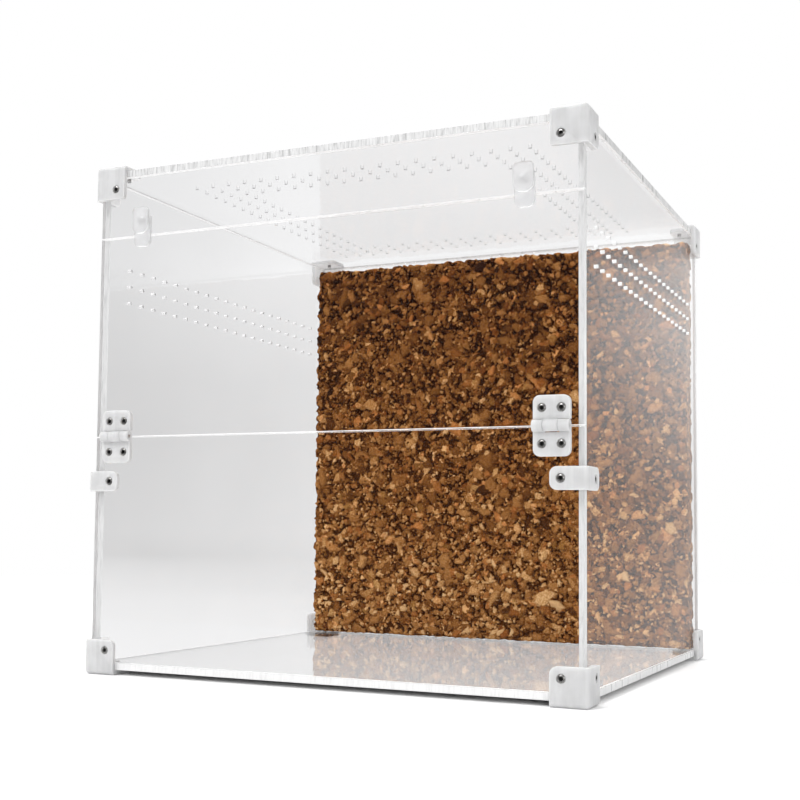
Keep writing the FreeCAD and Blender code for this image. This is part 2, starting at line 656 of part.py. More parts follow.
def screw_group(label, screw, places):
    """One screw at each place, given as its attitude and the point of the plate's face."""
    copies = []
    for number, (rotation, position) in enumerate(places, 1):
        copy = DOC.addObject("App::Link", f"{label}_{number}")
        copy.LinkedObject = screw
        place(copy, rotation, *position)
        copies.append(copy)
    group = new_node("Part::Compound", label)
    group.Links = copies


def bracket_screw_places(level):
    """Three screws of every bracket at one level of the box, one in each plate and square with it."""
    places = []
    step = f"({PLATE_T} + {SCREW_INSET})"
    x_axis, y_axis, z_axis = FreeCAD.Vector(1, 0, 0), FreeCAD.Vector(0, 1, 0), FreeCAD.Vector(0, 0, 1)
    for name, signs, corner in corners_of_box():
        if level not in name:
            continue
        turn = bracket_attitude(*signs)
        for along, outward in ((x_axis, -z_axis), (x_axis, -y_axis), (y_axis, -x_axis)):
            facing = turn.multVec(outward)
            position = []
            for start, sign, out in zip(corner, signs, facing):
                position.append(start if round(out) else f"{start} - {sign} * {step}")
            places.append((attitude(turn.multVec(along), facing), position))
    return places


def screws():
    screw = button_screw()
    for level in ("bottom", "top"):
        screw_group(f"corner_bracket_screws_{level}", screw, bracket_screw_places(level))
    plate_face = f"{FRONT} - {PLATE_T}"
    brace_z = f"{UNDERSIDE} + sizes.brace_centre"
    lower_z = f"{PIN_Z} - sizes.leaf_screw_height"
    upper_z = f"{PIN_Z} + sizes.leaf_screw_height"
    brace, lower, upper = [], [], []
    for sign, facing in ((-1, FACING_LEFT), (1, FACING_RIGHT)):
        front_x = f"{sign} * ({WIDTH} / 2 - sizes.brace_front_screw)"
        brace.append((FACING_FRONT, (front_x, plate_face, brace_z)))
        side_x = f"{sign} * ({WIDTH} / 2 + {PLATE_T})"
        brace.append((facing, (side_x, f"{FRONT} + sizes.brace_side_screw", brace_z)))
        for inset in LEAF_SCREWS:
            x = f"{sign} * ({WIDTH} / 2 - {inset})"
            lower.append((FACING_FRONT, (x, plate_face, lower_z)))
            upper.append((FACING_FRONT, (x, f"{DOOR_FACE} - {PLATE_T}", upper_z)))
    screw_group("side_brace_screws", screw, brace)
    screw_group("hinge_lower_leaf_screws", screw, lower)
    screw_group("hinge_door_leaf_screws", screw, upper)


# Cork slab


def ragged(step):
    """Share of the edge depth that is crumbled away at a step along the edge, from 0 to 1."""
    return 0.5 + 0.3 * math.sin(2.3 * step) + 0.2 * math.sin(5.1 * step + 1)


def uneven_block(width, height, thickness):
    """Block as deep as the slab, with a faceted face that hollows and rises like packed chips."""
    hollow = value("sizes.cork_hollow_depth")
    columns, rows = (max(2, round(length / value("sizes.cork_hollow_step"))) for length in (width, height))

    def on_face(column, row):
        dent = hollow * ragged(1.7 * column + 4.1 * row)
        return FreeCAD.Vector(width * column / columns, dent - thickness, height * row / rows)

    def facet(*corners):
        return Part.Face(Part.makePolygon(corners + corners[:1]))

    facets = []
    for column in range(columns):
        for row in range(rows):
            near, right = on_face(column, row), on_face(column + 1, row)
            above, far = on_face(column, row + 1), on_face(column + 1, row + 1)
            facets += [facet(near, right, far), facet(near, far, above)]
    behind = [FreeCAD.Vector(x, thickness, z) for x, z in ((0, 0), (width, 0), (width, height), (0, height))]
    rims = (
        [on_face(column, 0) for column in range(columns + 1)],
        [on_face(columns, row) for row in range(rows + 1)],
        [on_face(column, rows) for column in range(columns, -1, -1)],
        [on_face(0, row) for row in range(rows, -1, -1)],
    )
    for start, end, rim in zip(behind, behind[1:] + behind[:1], rims):
        facets.append(facet(start, *rim, end))
    facets.append(facet(*behind))
    return Part.Solid(Part.Shell(facets))


def cork_background():
    """Granulated cork glued to the back panel, with a crumbled outline and an uneven face."""
    width = value(f"{WIDTH} - 2 * {SHEET_T} - 2 * sizes.cork_side_gap")
    height = value(f"{WALL_HEIGHT} - sizes.cork_floor_gap - sizes.cork_top_gap")
    thickness = value("sizes.cork_thickness")
    depth = value("sizes.cork_edge_depth")
    corners = [(0, 0), (width, 0), (width, height), (0, height)]
    points = []
    for (x, y), (next_x, next_y) in zip(corners, corners[1:] + corners[:1]):
        length = math.hypot(next_x - x, next_y - y)
        along_x, along_y = (next_x - x) / length, (next_y - y) / length
        crumbs = max(2, round(length / value("sizes.cork_edge_step")))
        for crumb in range(1, crumbs):
            run = length * crumb / crumbs
            cut = depth * ragged(crumb + len(points))
            across, up = x + along_x * run - along_y * cut, y + along_y * run + along_x * cut
            points.append(FreeCAD.Vector(across, 0, up))
    outline = Part.makePolygon(points + points[:1])
    block = Part.Face(outline).extrude(FreeCAD.Vector(0, -thickness, 0))
    slab = new_node("Part::Feature", "cork_background")
    slab.Shape = block.common(uneven_block(width, height, thickness)).Solids[0]
    left = f"-{WIDTH} / 2 + {SHEET_T} + sizes.cork_side_gap"
    floor = f"{UNDERSIDE} + {SHEET_T} + sizes.cork_floor_gap"
    place(slab, FACING_UP, left, f"{BACK} - {SHEET_T}", floor)


horizontal_panels()
side_panels()
back_panel()
front_panels()
corner_brackets()
side_braces()
hinges()
catches()
screws()
cork_background()
DOC.recompute()

for item in DOC.Objects:
    if "Invalid" in item.State or "Error" in item.State:
        raise RuntimeError(f"{item.Label} did not compute: {item.State}")
os.makedirs("parts", exist_ok=True)
for node in NODES:
    if node.Shape.isNull() or not node.Shape.isValid():
        raise RuntimeError(f"{node.Label} has no valid shape")
for node in NODES:
    node.Shape.exportStep(f"parts/{node.Label}.step")
print(f"{len(NODES)} nodes written")
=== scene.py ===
import json
import math

import bmesh
import bpy
import numpy as np
from mathutils import Euler, Matrix, Vector
from mathutils.bvhtree import BVHTree


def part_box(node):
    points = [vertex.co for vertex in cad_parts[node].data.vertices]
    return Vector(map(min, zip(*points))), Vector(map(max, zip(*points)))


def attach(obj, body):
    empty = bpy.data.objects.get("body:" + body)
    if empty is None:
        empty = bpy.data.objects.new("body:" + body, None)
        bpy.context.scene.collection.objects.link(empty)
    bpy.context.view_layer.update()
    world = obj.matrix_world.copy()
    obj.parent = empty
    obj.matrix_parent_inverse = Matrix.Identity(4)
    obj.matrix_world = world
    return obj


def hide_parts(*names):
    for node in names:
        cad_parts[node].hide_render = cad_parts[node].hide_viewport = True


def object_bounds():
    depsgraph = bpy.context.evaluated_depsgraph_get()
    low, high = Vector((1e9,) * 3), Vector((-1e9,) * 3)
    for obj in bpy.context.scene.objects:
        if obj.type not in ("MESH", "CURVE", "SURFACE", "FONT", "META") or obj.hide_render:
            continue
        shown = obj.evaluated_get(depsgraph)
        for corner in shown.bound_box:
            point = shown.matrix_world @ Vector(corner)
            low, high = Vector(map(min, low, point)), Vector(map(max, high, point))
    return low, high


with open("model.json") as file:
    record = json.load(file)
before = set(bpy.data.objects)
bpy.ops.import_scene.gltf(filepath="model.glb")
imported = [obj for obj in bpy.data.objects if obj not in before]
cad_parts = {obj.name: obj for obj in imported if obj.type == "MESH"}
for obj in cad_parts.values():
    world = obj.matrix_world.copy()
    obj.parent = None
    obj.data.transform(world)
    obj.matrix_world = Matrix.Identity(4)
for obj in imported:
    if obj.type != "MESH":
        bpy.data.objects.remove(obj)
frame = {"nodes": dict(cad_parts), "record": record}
cad_bounds = [list(corner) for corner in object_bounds()]

# Lengths are in metres; MM turns a millimetre size into one.
MM = 0.001

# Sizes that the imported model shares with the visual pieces. A reach or a screw's place on a white plate
# counts from the plate's outer corner.
PLATE = 3.0 * MM
PLATE_HOLE = 1.4 * MM
BRACKET_REACH = 20.5 * MM
BRACKET_SCREW = 14.5 * MM
ROUND_CORNER = 4.0 * MM
TIGHT_CORNER = 1.2 * MM
UPPER_TIGHT_CORNER = 1.6 * MM
BRACE_HEIGHT = 12.0 * MM
BRACE_FRONT_REACH = 20.5 * MM
BRACE_SIDE_REACH = 20.0 * MM
BRACE_FRONT_SCREW = 14.7 * MM
BRACE_SIDE_SCREW = 13.9 * MM
BRACE_CORNER = 3.9 * MM
HEAD_RADIUS = 2.25 * MM
SEAT_RADIUS = 2.5 * MM
SEAT_DEPTH = 1.5 * MM
SHANK_RADIUS = 1.25 * MM
SHEET_HOLE = 1.32 * MM
VENT_RADIUS = 1.0 * MM
VENT_ROWS = 3
LID_PITCH = 11.4 * MM
LID_COLUMNS = 20
SIDE_PITCH = 12.92 * MM
SIDE_COLUMNS = 20
SIDE_ROW_PITCH = 10.3 * MM
SIDE_VENT_DROP = 55.5 * MM
HINGE_WIDTH = 19.4 * MM
KNUCKLE_RADIUS = 3.1 * MM
KNUCKLE_LENGTH = 5.6 * MM
KNUCKLE_GAP = 0.3 * MM
PIN_BORE = 1.05 * MM
LEAF_CORNER = 3.5 * MM
LEAF_SCREW_PITCH = 10.25 * MM
LEAF_SCREW_RISE = 9.2 * MM
DISC_RADIUS = 1.95 * MM
DISC_POCKET = 2.05 * MM

# Faces that would lie in one plane are kept this far apart.
HAIR = 0.04 * MM

low_box, high_box = (Vector(corner) for corner in cad_bounds)
sheet_low, sheet_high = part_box("top_panel")
LEFT, RIGHT = sheet_low.x, sheet_high.x
FRONT, BACK = sheet_low.y, sheet_high.y
MIDDLE_Y = (FRONT + BACK) / 2
UNDERSIDE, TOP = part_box("bottom_panel")[0].z, sheet_high.z
pin_low, pin_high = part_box("hinge_pin_right")
PIN_Y, PIN_Z = (pin_low.y + pin_high.y) / 2, (pin_low.z + pin_high.z) / 2

DOOR_NODES = set(frame["record"]["behaviour"]["bodies"]["door"])
SIDES = {"left": 1, "right": -1}


# Node graphs


def rgba(colour):
    """A colour with its alpha; a single number stands for a grey."""
    return (*colour, 1) if isinstance(colour, tuple) else (colour, colour, colour, 1)


def bluish(level, by=0.005):
    """A grey with a trace of blue."""
    return (level, level, level + by)


def feed(tree, target, inputs):
    """Sets each input of a node to a value, or links it where it is given the output of another node."""
    for key, source in inputs.items():
        if isinstance(source, bpy.types.NodeSocket):
            tree.links.new(source, target.inputs[key])
        else:
            target.inputs[key].default_value = source


def node(tree, kind, inputs=None, **settings):
    made = tree.nodes.new(kind)
    for key, setting in settings.items():
        setattr(made, key, setting)
    feed(tree, made, inputs or {})
    return made


def maths(tree, operation, first, second, use_clamp=False):
    made = node(tree, "ShaderNodeMath", {0: first, 1: second}, operation=operation, use_clamp=use_clamp)
    return made.outputs[0]


def remap(tree, value, low, high, to_low=0.0, to_high=1.0):
    """Carries a number between low and high over to one between to_low and to_high, and holds it there."""
    inputs = {"Value": value, "From Min": low, "From Max": high, "To Min": to_low, "To Max": to_high}
    return node(tree, "ShaderNodeMapRange", inputs).outputs[0]


def blend(tree, factor, first, second, kind="FLOAT", way="MIX"):
    """Mixes two numbers, vectors or colours."""
    inputs = {"Factor": factor, "A": first, "B": second}
    made = node(tree, "ShaderNodeMix", inputs, data_type=kind, blend_type=way)
    return made.outputs[("FLOAT", "VECTOR", "RGBA").index(kind)]


def ramp(tree, source, stops):
    """Colours by position, as position: colour."""
    made = tree.nodes.new("ShaderNodeValToRGB")
    elements = made.color_ramp.elements
    while len(elements) < len(stops):
        elements.new(0.5)
    for element, (position, colour) in zip(elements, stops.items()):
        element.position = position
        element.color = rgba(colour)
    feed(tree, made, {"Fac": source})
    return made.outputs["Color"]


def noise(tree, place, scale, detail=3.0, roughness=0.5):
    inputs = {"Vector": place, "Scale": scale, "Detail": detail, "Roughness": roughness}
    return node(tree, "ShaderNodeTexNoise", inputs).outputs["Fac"]


def bump(tree, height, strength, distance):
    inputs = {"Height": height, "Strength": strength, "Distance": distance}
    return node(tree, "ShaderNodeBump", inputs).outputs["Normal"]


def object_place(tree):
    return tree.nodes.new("ShaderNodeTexCoord").outputs["Object"]


def drawn_out(tree, place, share):
    """The place with its height scaled down, which draws a texture out along Z."""
    return node(tree, "ShaderNodeMapping", {"Vector": place, "Scale": (1, 1, share)}).outputs[0]


def axis_share(tree, vector, axis):
    return node(tree, "ShaderNodeSeparateXYZ", {"Vector": vector}).outputs[axis]


def emission(tree, colour, strength):
    return node(tree, "ShaderNodeEmission", {"Color": colour, "Strength": strength}).outputs[0]


def diffuse(tree, colour):
    return node(tree, "ShaderNodeBsdfDiffuse", {"Color": colour}).outputs[0]


def mix_shaders(tree, factor, first, second):
    return node(tree, "ShaderNodeMixShader", {"Fac": factor, 1: first, 2: second}).outputs[0]


def show(tree, shader):
    """Makes this shader the one that the tree gives out."""
    feed(tree, tree.nodes["output"], {"Surface": shader})


def light_path(tree):
    return tree.nodes.new("ShaderNodeLightPath").outputs


# Materials


def new_material(name):
    """A material of one principled shader, with its node tree."""
    material = bpy.data.materials.new(name)
    material.use_nodes = True
    tree = material.node_tree
    tree.nodes.clear()
    tree.nodes.new("ShaderNodeOutputMaterial").name = "output"
    shader = tree.nodes.new("ShaderNodeBsdfPrincipled")
    show(tree, shader.outputs[0])
    return material, tree, shader


def let_lamps_through(tree, shader, passed, soft_light_meets=None):
    """Lamps reach what is behind the plastic, as they do through a real sheet, and soft light does too
    unless it meets a shader of its own."""
    path = light_path(tree)
    open_way = node(tree, "ShaderNodeBsdfTransparent", {"Color": rgba(passed)}).outputs[0]
    inner = mix_shaders(tree, path["Is Diffuse Ray"], shader.outputs[0], soft_light_meets or open_way)
    show(tree, mix_shaders(tree, path["Is Shadow Ray"], inner, open_way))


def make_acrylic(name, ior, tints, passed, spreads=False):
    """Clear sheet: ior sets how much it mirrors, passed how much lamp light goes through. A sheet that
    spreads light throws the soft light back, as the floor sheet does with the pale ground under it."""
    material, tree, shader = new_material(name)
    darker, lighter = tints
    cloud = noise(tree, object_place(tree), 9, 2)
    tint = ramp(tree, cloud, {0.3: bluish(darker, 0.003), 0.7: bluish(lighter, 0.003)})
    feed(tree, shader, {"Base Color": tint, "Transmission Weight": 1, "IOR": ior, "Roughness": 0.0})
    let_lamps_through(tree, shader, passed, diffuse(tree, rgba(0.82)) if spreads else None)
    return material


def make_sawn_edge(name, darker, lighter, glow):
    """A cut edge of the sheet: whitened, with fine marks of the saw across the thickness. The glow is
    painted
    light: an emission standing for the light that the sheet pipes to a polished edge."""
    material, tree, shader = new_material(name)
    place = drawn_out(tree, object_place(tree), 0.12)
    marks = noise(tree, place, 900, 3, 0.6)
    streaks = noise(tree, place, 160, 2, 0.6)
    between = (darker + 2 * lighter) / 3
    feed(tree, shader, {
        "Base Color": ramp(tree, marks, {0.32: darker, 0.48: between, 0.68: lighter}),
        "Roughness": ramp(tree, streaks, {0.35: 0.22, 0.65: 0.5}),
        "Normal": bump(tree, marks, 0.5, 0.3 * MM),
        "IOR": ACRYLIC_IOR,
        "Emission Color": rgba(1.0),
        "Emission Strength": glow,
    })
    let_lamps_through(tree, shader, 0.85)
    return material


def make_drilled_wall(name, darker, lighter):
    """The whitened wall of a drilled hole."""
    material, tree, shader = new_material(name)
    rings = noise(tree, object_place(tree), 1500, 2)
    feed(tree, shader, {
        "Base Color": ramp(tree, rings, {0.35: darker, 0.65: lighter}),
        "Roughness": 0.35,
        "Normal": bump(tree, rings, 0.4, 0.2 * MM),
        "IOR": ACRYLIC_IOR,
    })
    return material


def make_white_plastic(name, glow):
    """White moulded plastic; the glow is painted light, standing for light that reaches a face through the
    milky plastic.
    """
    material, tree, shader = new_material(name)
    place = object_place(tree)
    cloud = noise(tree, place, 120, 3)
    flow_lines = noise(tree, drawn_out(tree, place, 0.1), 420, 2)
    both = maths(tree, "MULTIPLY", maths(tree, "ADD", cloud, flow_lines), 0.5)
    grain = noise(tree, place, 2600, 2)
    feed(tree, shader, {
        "Base Color": ramp(tree, both, {0.36: bluish(0.57), 0.64: bluish(0.65)}),
        "Roughness": ramp(tree, grain, {0.3: 0.42, 0.7: 0.6}),
        "Normal": bump(tree, grain, 0.12, 0.2 * MM),
        "Specular IOR Level": 0.3,
        "Subsurface Weight": 0.9,
        "Subsurface Radius": (1.0, 1.0, 0.95),
        "Subsurface Scale": 4.0 * MM,
        "Emission Color": rgba(1.0),
        "Emission Strength": glow,
    })
    return material


def make_catch_plastic():
    """Clear moulded plastic, a little frosted."""
    material, tree, shader = new_material("clear_moulded_plastic")
    cloud = noise(tree, object_place(tree), 260, 3)
    feed(tree, shader, {
        "Base Color": ramp(tree, cloud, {0.3: bluish(0.82), 0.7: bluish(0.89)}),
        "Roughness": ramp(tree, cloud, {0.3: 0.4, 0.7: 0.58}),
        "Normal": bump(tree, cloud, 0.1, 0.4 * MM),
        "Transmission Weight": 0.72,
        "IOR": 1.3,
    })
    let_lamps_through(tree, shader, 0.9)
    return material


def make_steel(name, dark, light, smoothest, roughest, metallic=1.0):
    material, tree, shader = new_material(name)
    place = object_place(tree)
    fine = noise(tree, place, 3000, 3)
    feed(tree, shader, {
        "Base Color": ramp(tree, noise(tree, place, 700, 2), {0.35: dark, 0.65: light}),
        "Roughness": ramp(tree, fine, {0.3: smoothest, 0.7: roughest}),
        "Normal": bump(tree, fine, 0.15, 0.1 * MM),
        "Metallic": metallic,
    })
    return material


CORK_TONES = {
    0.0: (0.020, 0.005, 0.001),
    0.2: (0.070, 0.021, 0.004),
    0.45: (0.195, 0.070, 0.014),
    0.7: (0.365, 0.158, 0.044),
    0.88: (0.560, 0.295, 0.108),
    1.0: (0.740, 0.465, 0.225),
}
REDDISH = (0.82, 0.45, 0.25)
GREENISH = (0.34, 0.36, 0.24)


def finish_cork(tree, shader, place, tone, hue, shade):
    """Cork whose chips take their colour from a tone and a hue, with grain and pores inside each chip. The
    shade
    darkens what lies deep or between chips: painted shade on the front face, darker joints on the cut
    sides."""
    grain = noise(tree, place, 900, 4, 0.75)
    spread = maths(tree, "MULTIPLY", maths(tree, "SUBTRACT", grain, 0.5), 1.1)
    base = ramp(tree, maths(tree, "ADD", tone, spread, use_clamp=True), CORK_TONES)
    warm = blend(tree, 0.27, base, rgba(REDDISH), "RGBA", "OVERLAY")
    cool = blend(tree, 0.5, base, rgba(GREENISH), "RGBA", "OVERLAY")
    warmed = blend(tree, remap(tree, hue, 0.72, 0.98), base, warm, "RGBA")
    colour = blend(tree, remap(tree, hue, 0.1, 0.02), warmed, cool, "RGBA")
    fine = noise(tree, place, 2400, 3, 0.6)
    feed(tree, shader, {
        "Base Color": blend(tree, 1.0, colour, shade, "RGBA", "MULTIPLY"),
        "Roughness": ramp(tree, grain, {0.3: 0.72, 0.7: 0.95}),
        "Normal": bump(tree, maths(tree, "ADD", grain, fine), 0.6, 0.6 * MM),
        "Specular IOR Level": 0.08,
    })


def make_cork_face():
    """Front of the slab: each chip's tone and hue are stored on the mesh with the chip's shape."""
    material, tree, shader = new_material("cork_chips")
    stored = lambda name: node(tree, "ShaderNodeAttribute", attribute_name=name).outputs["Fac"]
    # Painted shade: darker in the hollows and round the rims between chips.
    shade = ramp(tree, stored("chip_painted_shade"), {0.0: 1.0, 0.5: (0.66, 0.6, 0.54), 1.0: (0.36, 0.27, 0.2)})
    finish_cork(tree, shader, object_place(tree), stored("chip_tone"), stored("chip_hue"), shade)
    return material


def make_cork_cut():
    """Cut sides and back of the slab: the same chips, sliced flat."""
    material, tree, shader = new_material("cork_cut_side")
    place = object_place(tree)
    wander = node(tree, "ShaderNodeTexNoise", {"Vector": place, "Scale": 260.0, "Detail": 2.0})
    chips = {"Vector": blend(tree, 0.006, place, wander.outputs["Color"], "VECTOR"), "Scale": 360.0}
    cells = node(tree, "ShaderNodeTexVoronoi", chips)
    edges = node(tree, "ShaderNodeTexVoronoi", chips, feature="DISTANCE_TO_EDGE")
    drawn = node(tree, "ShaderNodeSeparateColor", {"Color": cells.outputs["Color"]}).outputs
    tone = remap(tree, drawn[0], 0, 1, 0.18, 0.86)
    seams = ramp(tree, edges.outputs["Distance"], {0.0: 0.35, 0.09: 1.0})
    finish_cork(tree, shader, place, tone, drawn[1], seams)
    return material


ACRYLIC_IOR = 1.49
WALL_SHEET = make_acrylic("clear_acrylic_wall", 1.15, (0.925, 0.95), 0.97)
RIGHT_SHEET = make_acrylic("clear_acrylic_right_wall", 1.07, (0.97, 0.99), 0.97)
LID_SHEET = make_acrylic("clear_acrylic_lid", 1.06, (0.965, 0.985), 0.97)
FLOOR_SHEET = make_acrylic("clear_acrylic_floor", 1.08, (0.965, 0.985), 0.0, True)
LID_CUT = make_sawn_edge("sawn_acrylic_edge", 0.48, 0.78, 0.0)
WALL_CUT = make_sawn_edge("wall_acrylic_edge", 0.62, 0.78, 0.0)
FLOOR_CUT = make_sawn_edge("floor_acrylic_edge", 0.76, 0.86, 0.0)
# The next two are brighter copies of the sawn edge with a glow: painted light on edges that face up or down
# and along the door seam.
LEVEL_GLOW_CUT = make_sawn_edge("level_acrylic_edge_painted_glow", 0.72, 0.84, 0.2)
SEAM_GLOW_CUT = make_sawn_edge("painted_bright_acrylic_seam", 0.82, 0.95, 0.32)
WALL_HOLE = make_drilled_wall("drilled_vent_wall", 0.78, 0.97)
# A darker copy of the drilled wall for the lid's vents: painted shade in the holes.
SHADED_LID_HOLE = make_drilled_wall("drilled_lid_vent_painted_shade", 0.45, 0.8)
WHITE = make_white_plastic("white_moulded_plastic", 0.0)
# A glowing copy for the brackets' inner faces: painted light on faces that lie in shade.
WHITE_INNER_GLOW = make_white_plastic("white_plastic_inner_painted_glow", 0.34)
CATCH = make_catch_plastic()
SCREW_STEEL = make_steel("screw_steel", (0.3, 0.293, 0.285), (0.46, 0.45, 0.44), 0.2, 0.36, 0.88)
# Near-black steel for the hex sockets: painted shade inside the recess.
SOCKET_SHADE_STEEL = make_steel("screw_socket_painted_shade", 0.03, (0.08, 0.08, 0.078), 0.3, 0.5)
PIN_STEEL = make_steel("hinge_pin_steel", (0.42, 0.41, 0.4), (0.6, 0.59, 0.58), 0.2, 0.4)
MAGNET_METAL = make_steel("plated_magnet", 0.5, 0.66, 0.22, 0.42)
STRIKER_STEEL = make_steel("striker_steel", 0.4, (0.58, 0.58, 0.57), 0.25, 0.45)
CORK_FACE = make_cork_face()
CORK_CUT = make_cork_cut()


# Mesh helpers


def add_object(name, mesh, materials):
    made = bpy.data.objects.new(name, mesh)
    bpy.context.scene.collection.objects.link(made)
    for material in materials:
        mesh.materials.append(material)
    return made


def from_bmesh(name, bm, materials=()):
    mesh = bpy.data.meshes.new(name)
    bm.normal_update()
    bm.to_mesh(mesh)
    bm.free()
    return add_object(name, mesh, materials)


def drop(*objects):
    for item in objects:
        mesh = item.data
        bpy.data.objects.remove(item)
        if mesh.users == 0:
            bpy.data.meshes.remove(mesh)


def evaluated_mesh(item):
    graph = bpy.context.evaluated_depsgraph_get()
    return bpy.data.meshes.new_from_object(item.evaluated_get(graph))


def settle(item):
    """Replaces the item's mesh by what its modifiers make of it."""
    done = evaluated_mesh(item)
    item.modifiers.clear()
    item.data = done


def combine(item, other, operation):
    change = item.modifiers.new("combine", "BOOLEAN")
    change.operation = operation
    change.solver = "EXACT"
    change.object = other
    settle(item)
    drop(other)


def soften(item, width, segments=2):
    """Rounds every sharp edge a little."""
    change = item.modifiers.new("soften", "BEVEL")
    change.width = width
    change.segments = segments
    change.limit_method = "ANGLE"
    change.angle_limit = math.radians(40)
    change.miter_outer = "MITER_ARC"
    settle(item)


def smooth(item, angle=38):
    item.data.shade_smooth()
    item.data.set_sharp_from_angle(angle=math.radians(angle))


def block(low, high):
    bm = bmesh.new()
    bmesh.ops.create_cube(bm, size=1)
    low, high = Vector(low), Vector(high)
    for vertex in bm.verts:
        vertex.co = Vector(low[i] + (vertex.co[i] + 0.5) * (high[i] - low[i]) for i in range(3))
    return from_bmesh("block", bm)


# Turns that carry Z to an axis, and X and Y to the other two in their usual order.
AXES = {
    "x": Matrix(((0, 0, 1), (1, 0, 0), (0, 1, 0))),
    "y": Matrix(((1, 0, 0), (0, 0, -1), (0, 1, 0))),
    "z": Matrix.Identity(3),
}


def rod(axis, centre, radius, start, end, sides=32):
    """A cylinder along an axis; centre holds its two other coordinates in their usual order."""
    bm = bmesh.new()
    rings = []
    for along in (start, end):
        depth = -along if axis == "y" else along
        ring = []
        for k in range(sides):
            angle = 2 * math.pi * (k + 0.5) / sides
            flat = (centre[0] + radius * math.cos(angle), centre[1] + radius * math.sin(angle), depth)
            ring.append(bm.verts.new(AXES[axis] @ Vector(flat)))
        rings.append(ring)
    for k in range(sides):
        bm.faces.new((rings[0][k], rings[0][k - 1], rings[1][k - 1], rings[1][k]))
    bm.faces.new(rings[0])
    bm.faces.new(rings[1])
    bmesh.ops.recalc_face_normals(bm, faces=bm.faces)
    return from_bmesh("rod", bm)


def round_edges(item, chosen, radius, segments=6):
    """Rounds the edges for which chosen(end, end) is true."""
    bm = bmesh.new()
    bm.from_mesh(item.data)
    edges = [edge for edge in bm.edges if chosen(edge.verts[0].co, edge.verts[1].co)]
    settings = {"segments": segments, "profile": 0.5, "affect": "EDGES", "clamp_overlap": True}
    bmesh.ops.bevel(bm, geom=edges, offset=radius, **settings)
    bm.to_mesh(item.data)
    bm.free()


def same(a, b):
    return abs(a - b) < HAIR / 2


def place_piece(item, name, source):
    """Gives a finished piece its name, the node that it replaces, that node's body."""
    item.name = name
    item.data.name = name
    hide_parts(source)
    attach(item, "door" if source in DOOR_NODES else "box")


# Clear sheets

EASE = 0.12 * MM
SEAM_EASE = 0.3 * MM
LID_HOLE_WHITENED = 0.6 * MM
RIM_BAND = 0.3 * MM
SEAM_BAND = 2.0 * MM
HOLE_SIDES = 20
DOOR_SEAM_Z = (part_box("front_lower_panel")[1].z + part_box("door_panel")[0].z) / 2
FLAT, RIM, HOLE, LEVEL_RIM, SEAM_RIM = range(5)


def closed_line(curve, points):
    spline = curve.splines.new("POLY")
    spline.points.add(len(points) - 1)
    for point, place in zip(spline.points, points):
        point.co = (*place, 0, 1)
    spline.use_cyclic_u = True


def circle_points(centre_u, centre_v, radius):
    """A hole's outline, run backwards, as holes are."""
    angles = [-2 * math.pi * k / HOLE_SIDES for k in range(HOLE_SIDES)]
    return [(centre_u + radius * math.cos(angle), centre_v + radius * math.sin(angle)) for angle in angles]


def sheet_mesh(name, low, high, thin, holes, ease):
    """A filled outline with round holes, thickened along the axis that is thin, with eased edges."""
    u, v = (i for i in range(3) if i != thin)
    curve = bpy.data.curves.new(name, "CURVE")
    curve.dimensions = "2D"
    curve.fill_mode = "BOTH"
    curve.extrude = (high[thin] - low[thin]) / 2 - ease
    curve.bevel_depth = ease
    curve.bevel_resolution = 1
    curve.offset = -ease
    left, right, bottom, top = low[u] + HAIR, high[u] - HAIR, low[v] + HAIR, high[v] - HAIR
    closed_line(curve, ((left, bottom), (right, bottom), (right, top), (left, top)))
    for hole in holes:
        closed_line(curve, circle_points(*hole))
    shape = bpy.data.objects.new(name, curve)
    bpy.context.scene.collection.objects.link(shape)
    mesh = evaluated_mesh(shape)
    bpy.data.objects.remove(shape)
    shift = Vector((0, 0, 0))
    shift[thin] = (low[thin] + high[thin]) / 2
    mesh.transform(Matrix.Translation(shift) @ AXES["xyz"[thin]].to_4x4())
    mesh.materials.clear()
    return mesh


def sheet_piece(
    source, holes, clear=WALL_SHEET, cut=WALL_CUT, drilled=WALL_HOLE, whitened=math.inf, ease=EASE
):
    """A sheet the size of its node, with eased cut edges and round holes as (u, v, radius). The walls of
    the holes are whitened up to a height over the lower face, or all through."""
    low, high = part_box(source)
    thin = min(range(3), key=lambda i: high[i] - low[i])
    u, v = (i for i in range(3) if i != thin)
    mesh = sheet_mesh(source, low, high, thin, holes, ease)
    bm = bmesh.new()
    bm.from_mesh(mesh)
    bmesh.ops.remove_doubles(bm, verts=bm.verts, dist=0.001 * MM)
    bmesh.ops.recalc_face_normals(bm, faces=bm.faces)
    limit = low[thin] + whitened
    if limit < high[thin]:
        across = Vector(int(i == thin) for i in range(3))
        whole = bm.verts[:] + bm.edges[:] + bm.faces[:]
        bmesh.ops.bisect_plane(bm, geom=whole, plane_co=across * limit, plane_no=across)
    for face in bm.faces:
        face.smooth = False
        face.material_index = FLAT
        if abs(face.normal[thin]) > 0.9:
            continue
        middle = face.calc_center_median()
        if min(min(middle[i] - low[i], high[i] - middle[i]) for i in (u, v)) < RIM_BAND:
            # Edge faces that face up or down, and those along the door seam, take the glowing copies:
            # painted light.
            at_seam = abs(middle.z - DOOR_SEAM_Z) < SEAM_BAND
            level = SEAM_RIM if at_seam else LEVEL_RIM
            face.material_index = level if abs(face.normal.z) > 0.5 else RIM
        elif middle[thin] < limit:
            face.material_index = HOLE
    item = add_object(source, mesh, (clear, cut, drilled, LEVEL_GLOW_CUT, SEAM_GLOW_CUT))
    bm.to_mesh(mesh)
    bm.free()
    place_piece(item, source + "_sheet", source)


def screw_holes(us, vs):
    return [(u, v, SHEET_HOLE) for u in us for v in vs]


def row_places(count, pitch, middle):
    return [middle + (k - (count - 1) / 2) * pitch for k in range(count)]


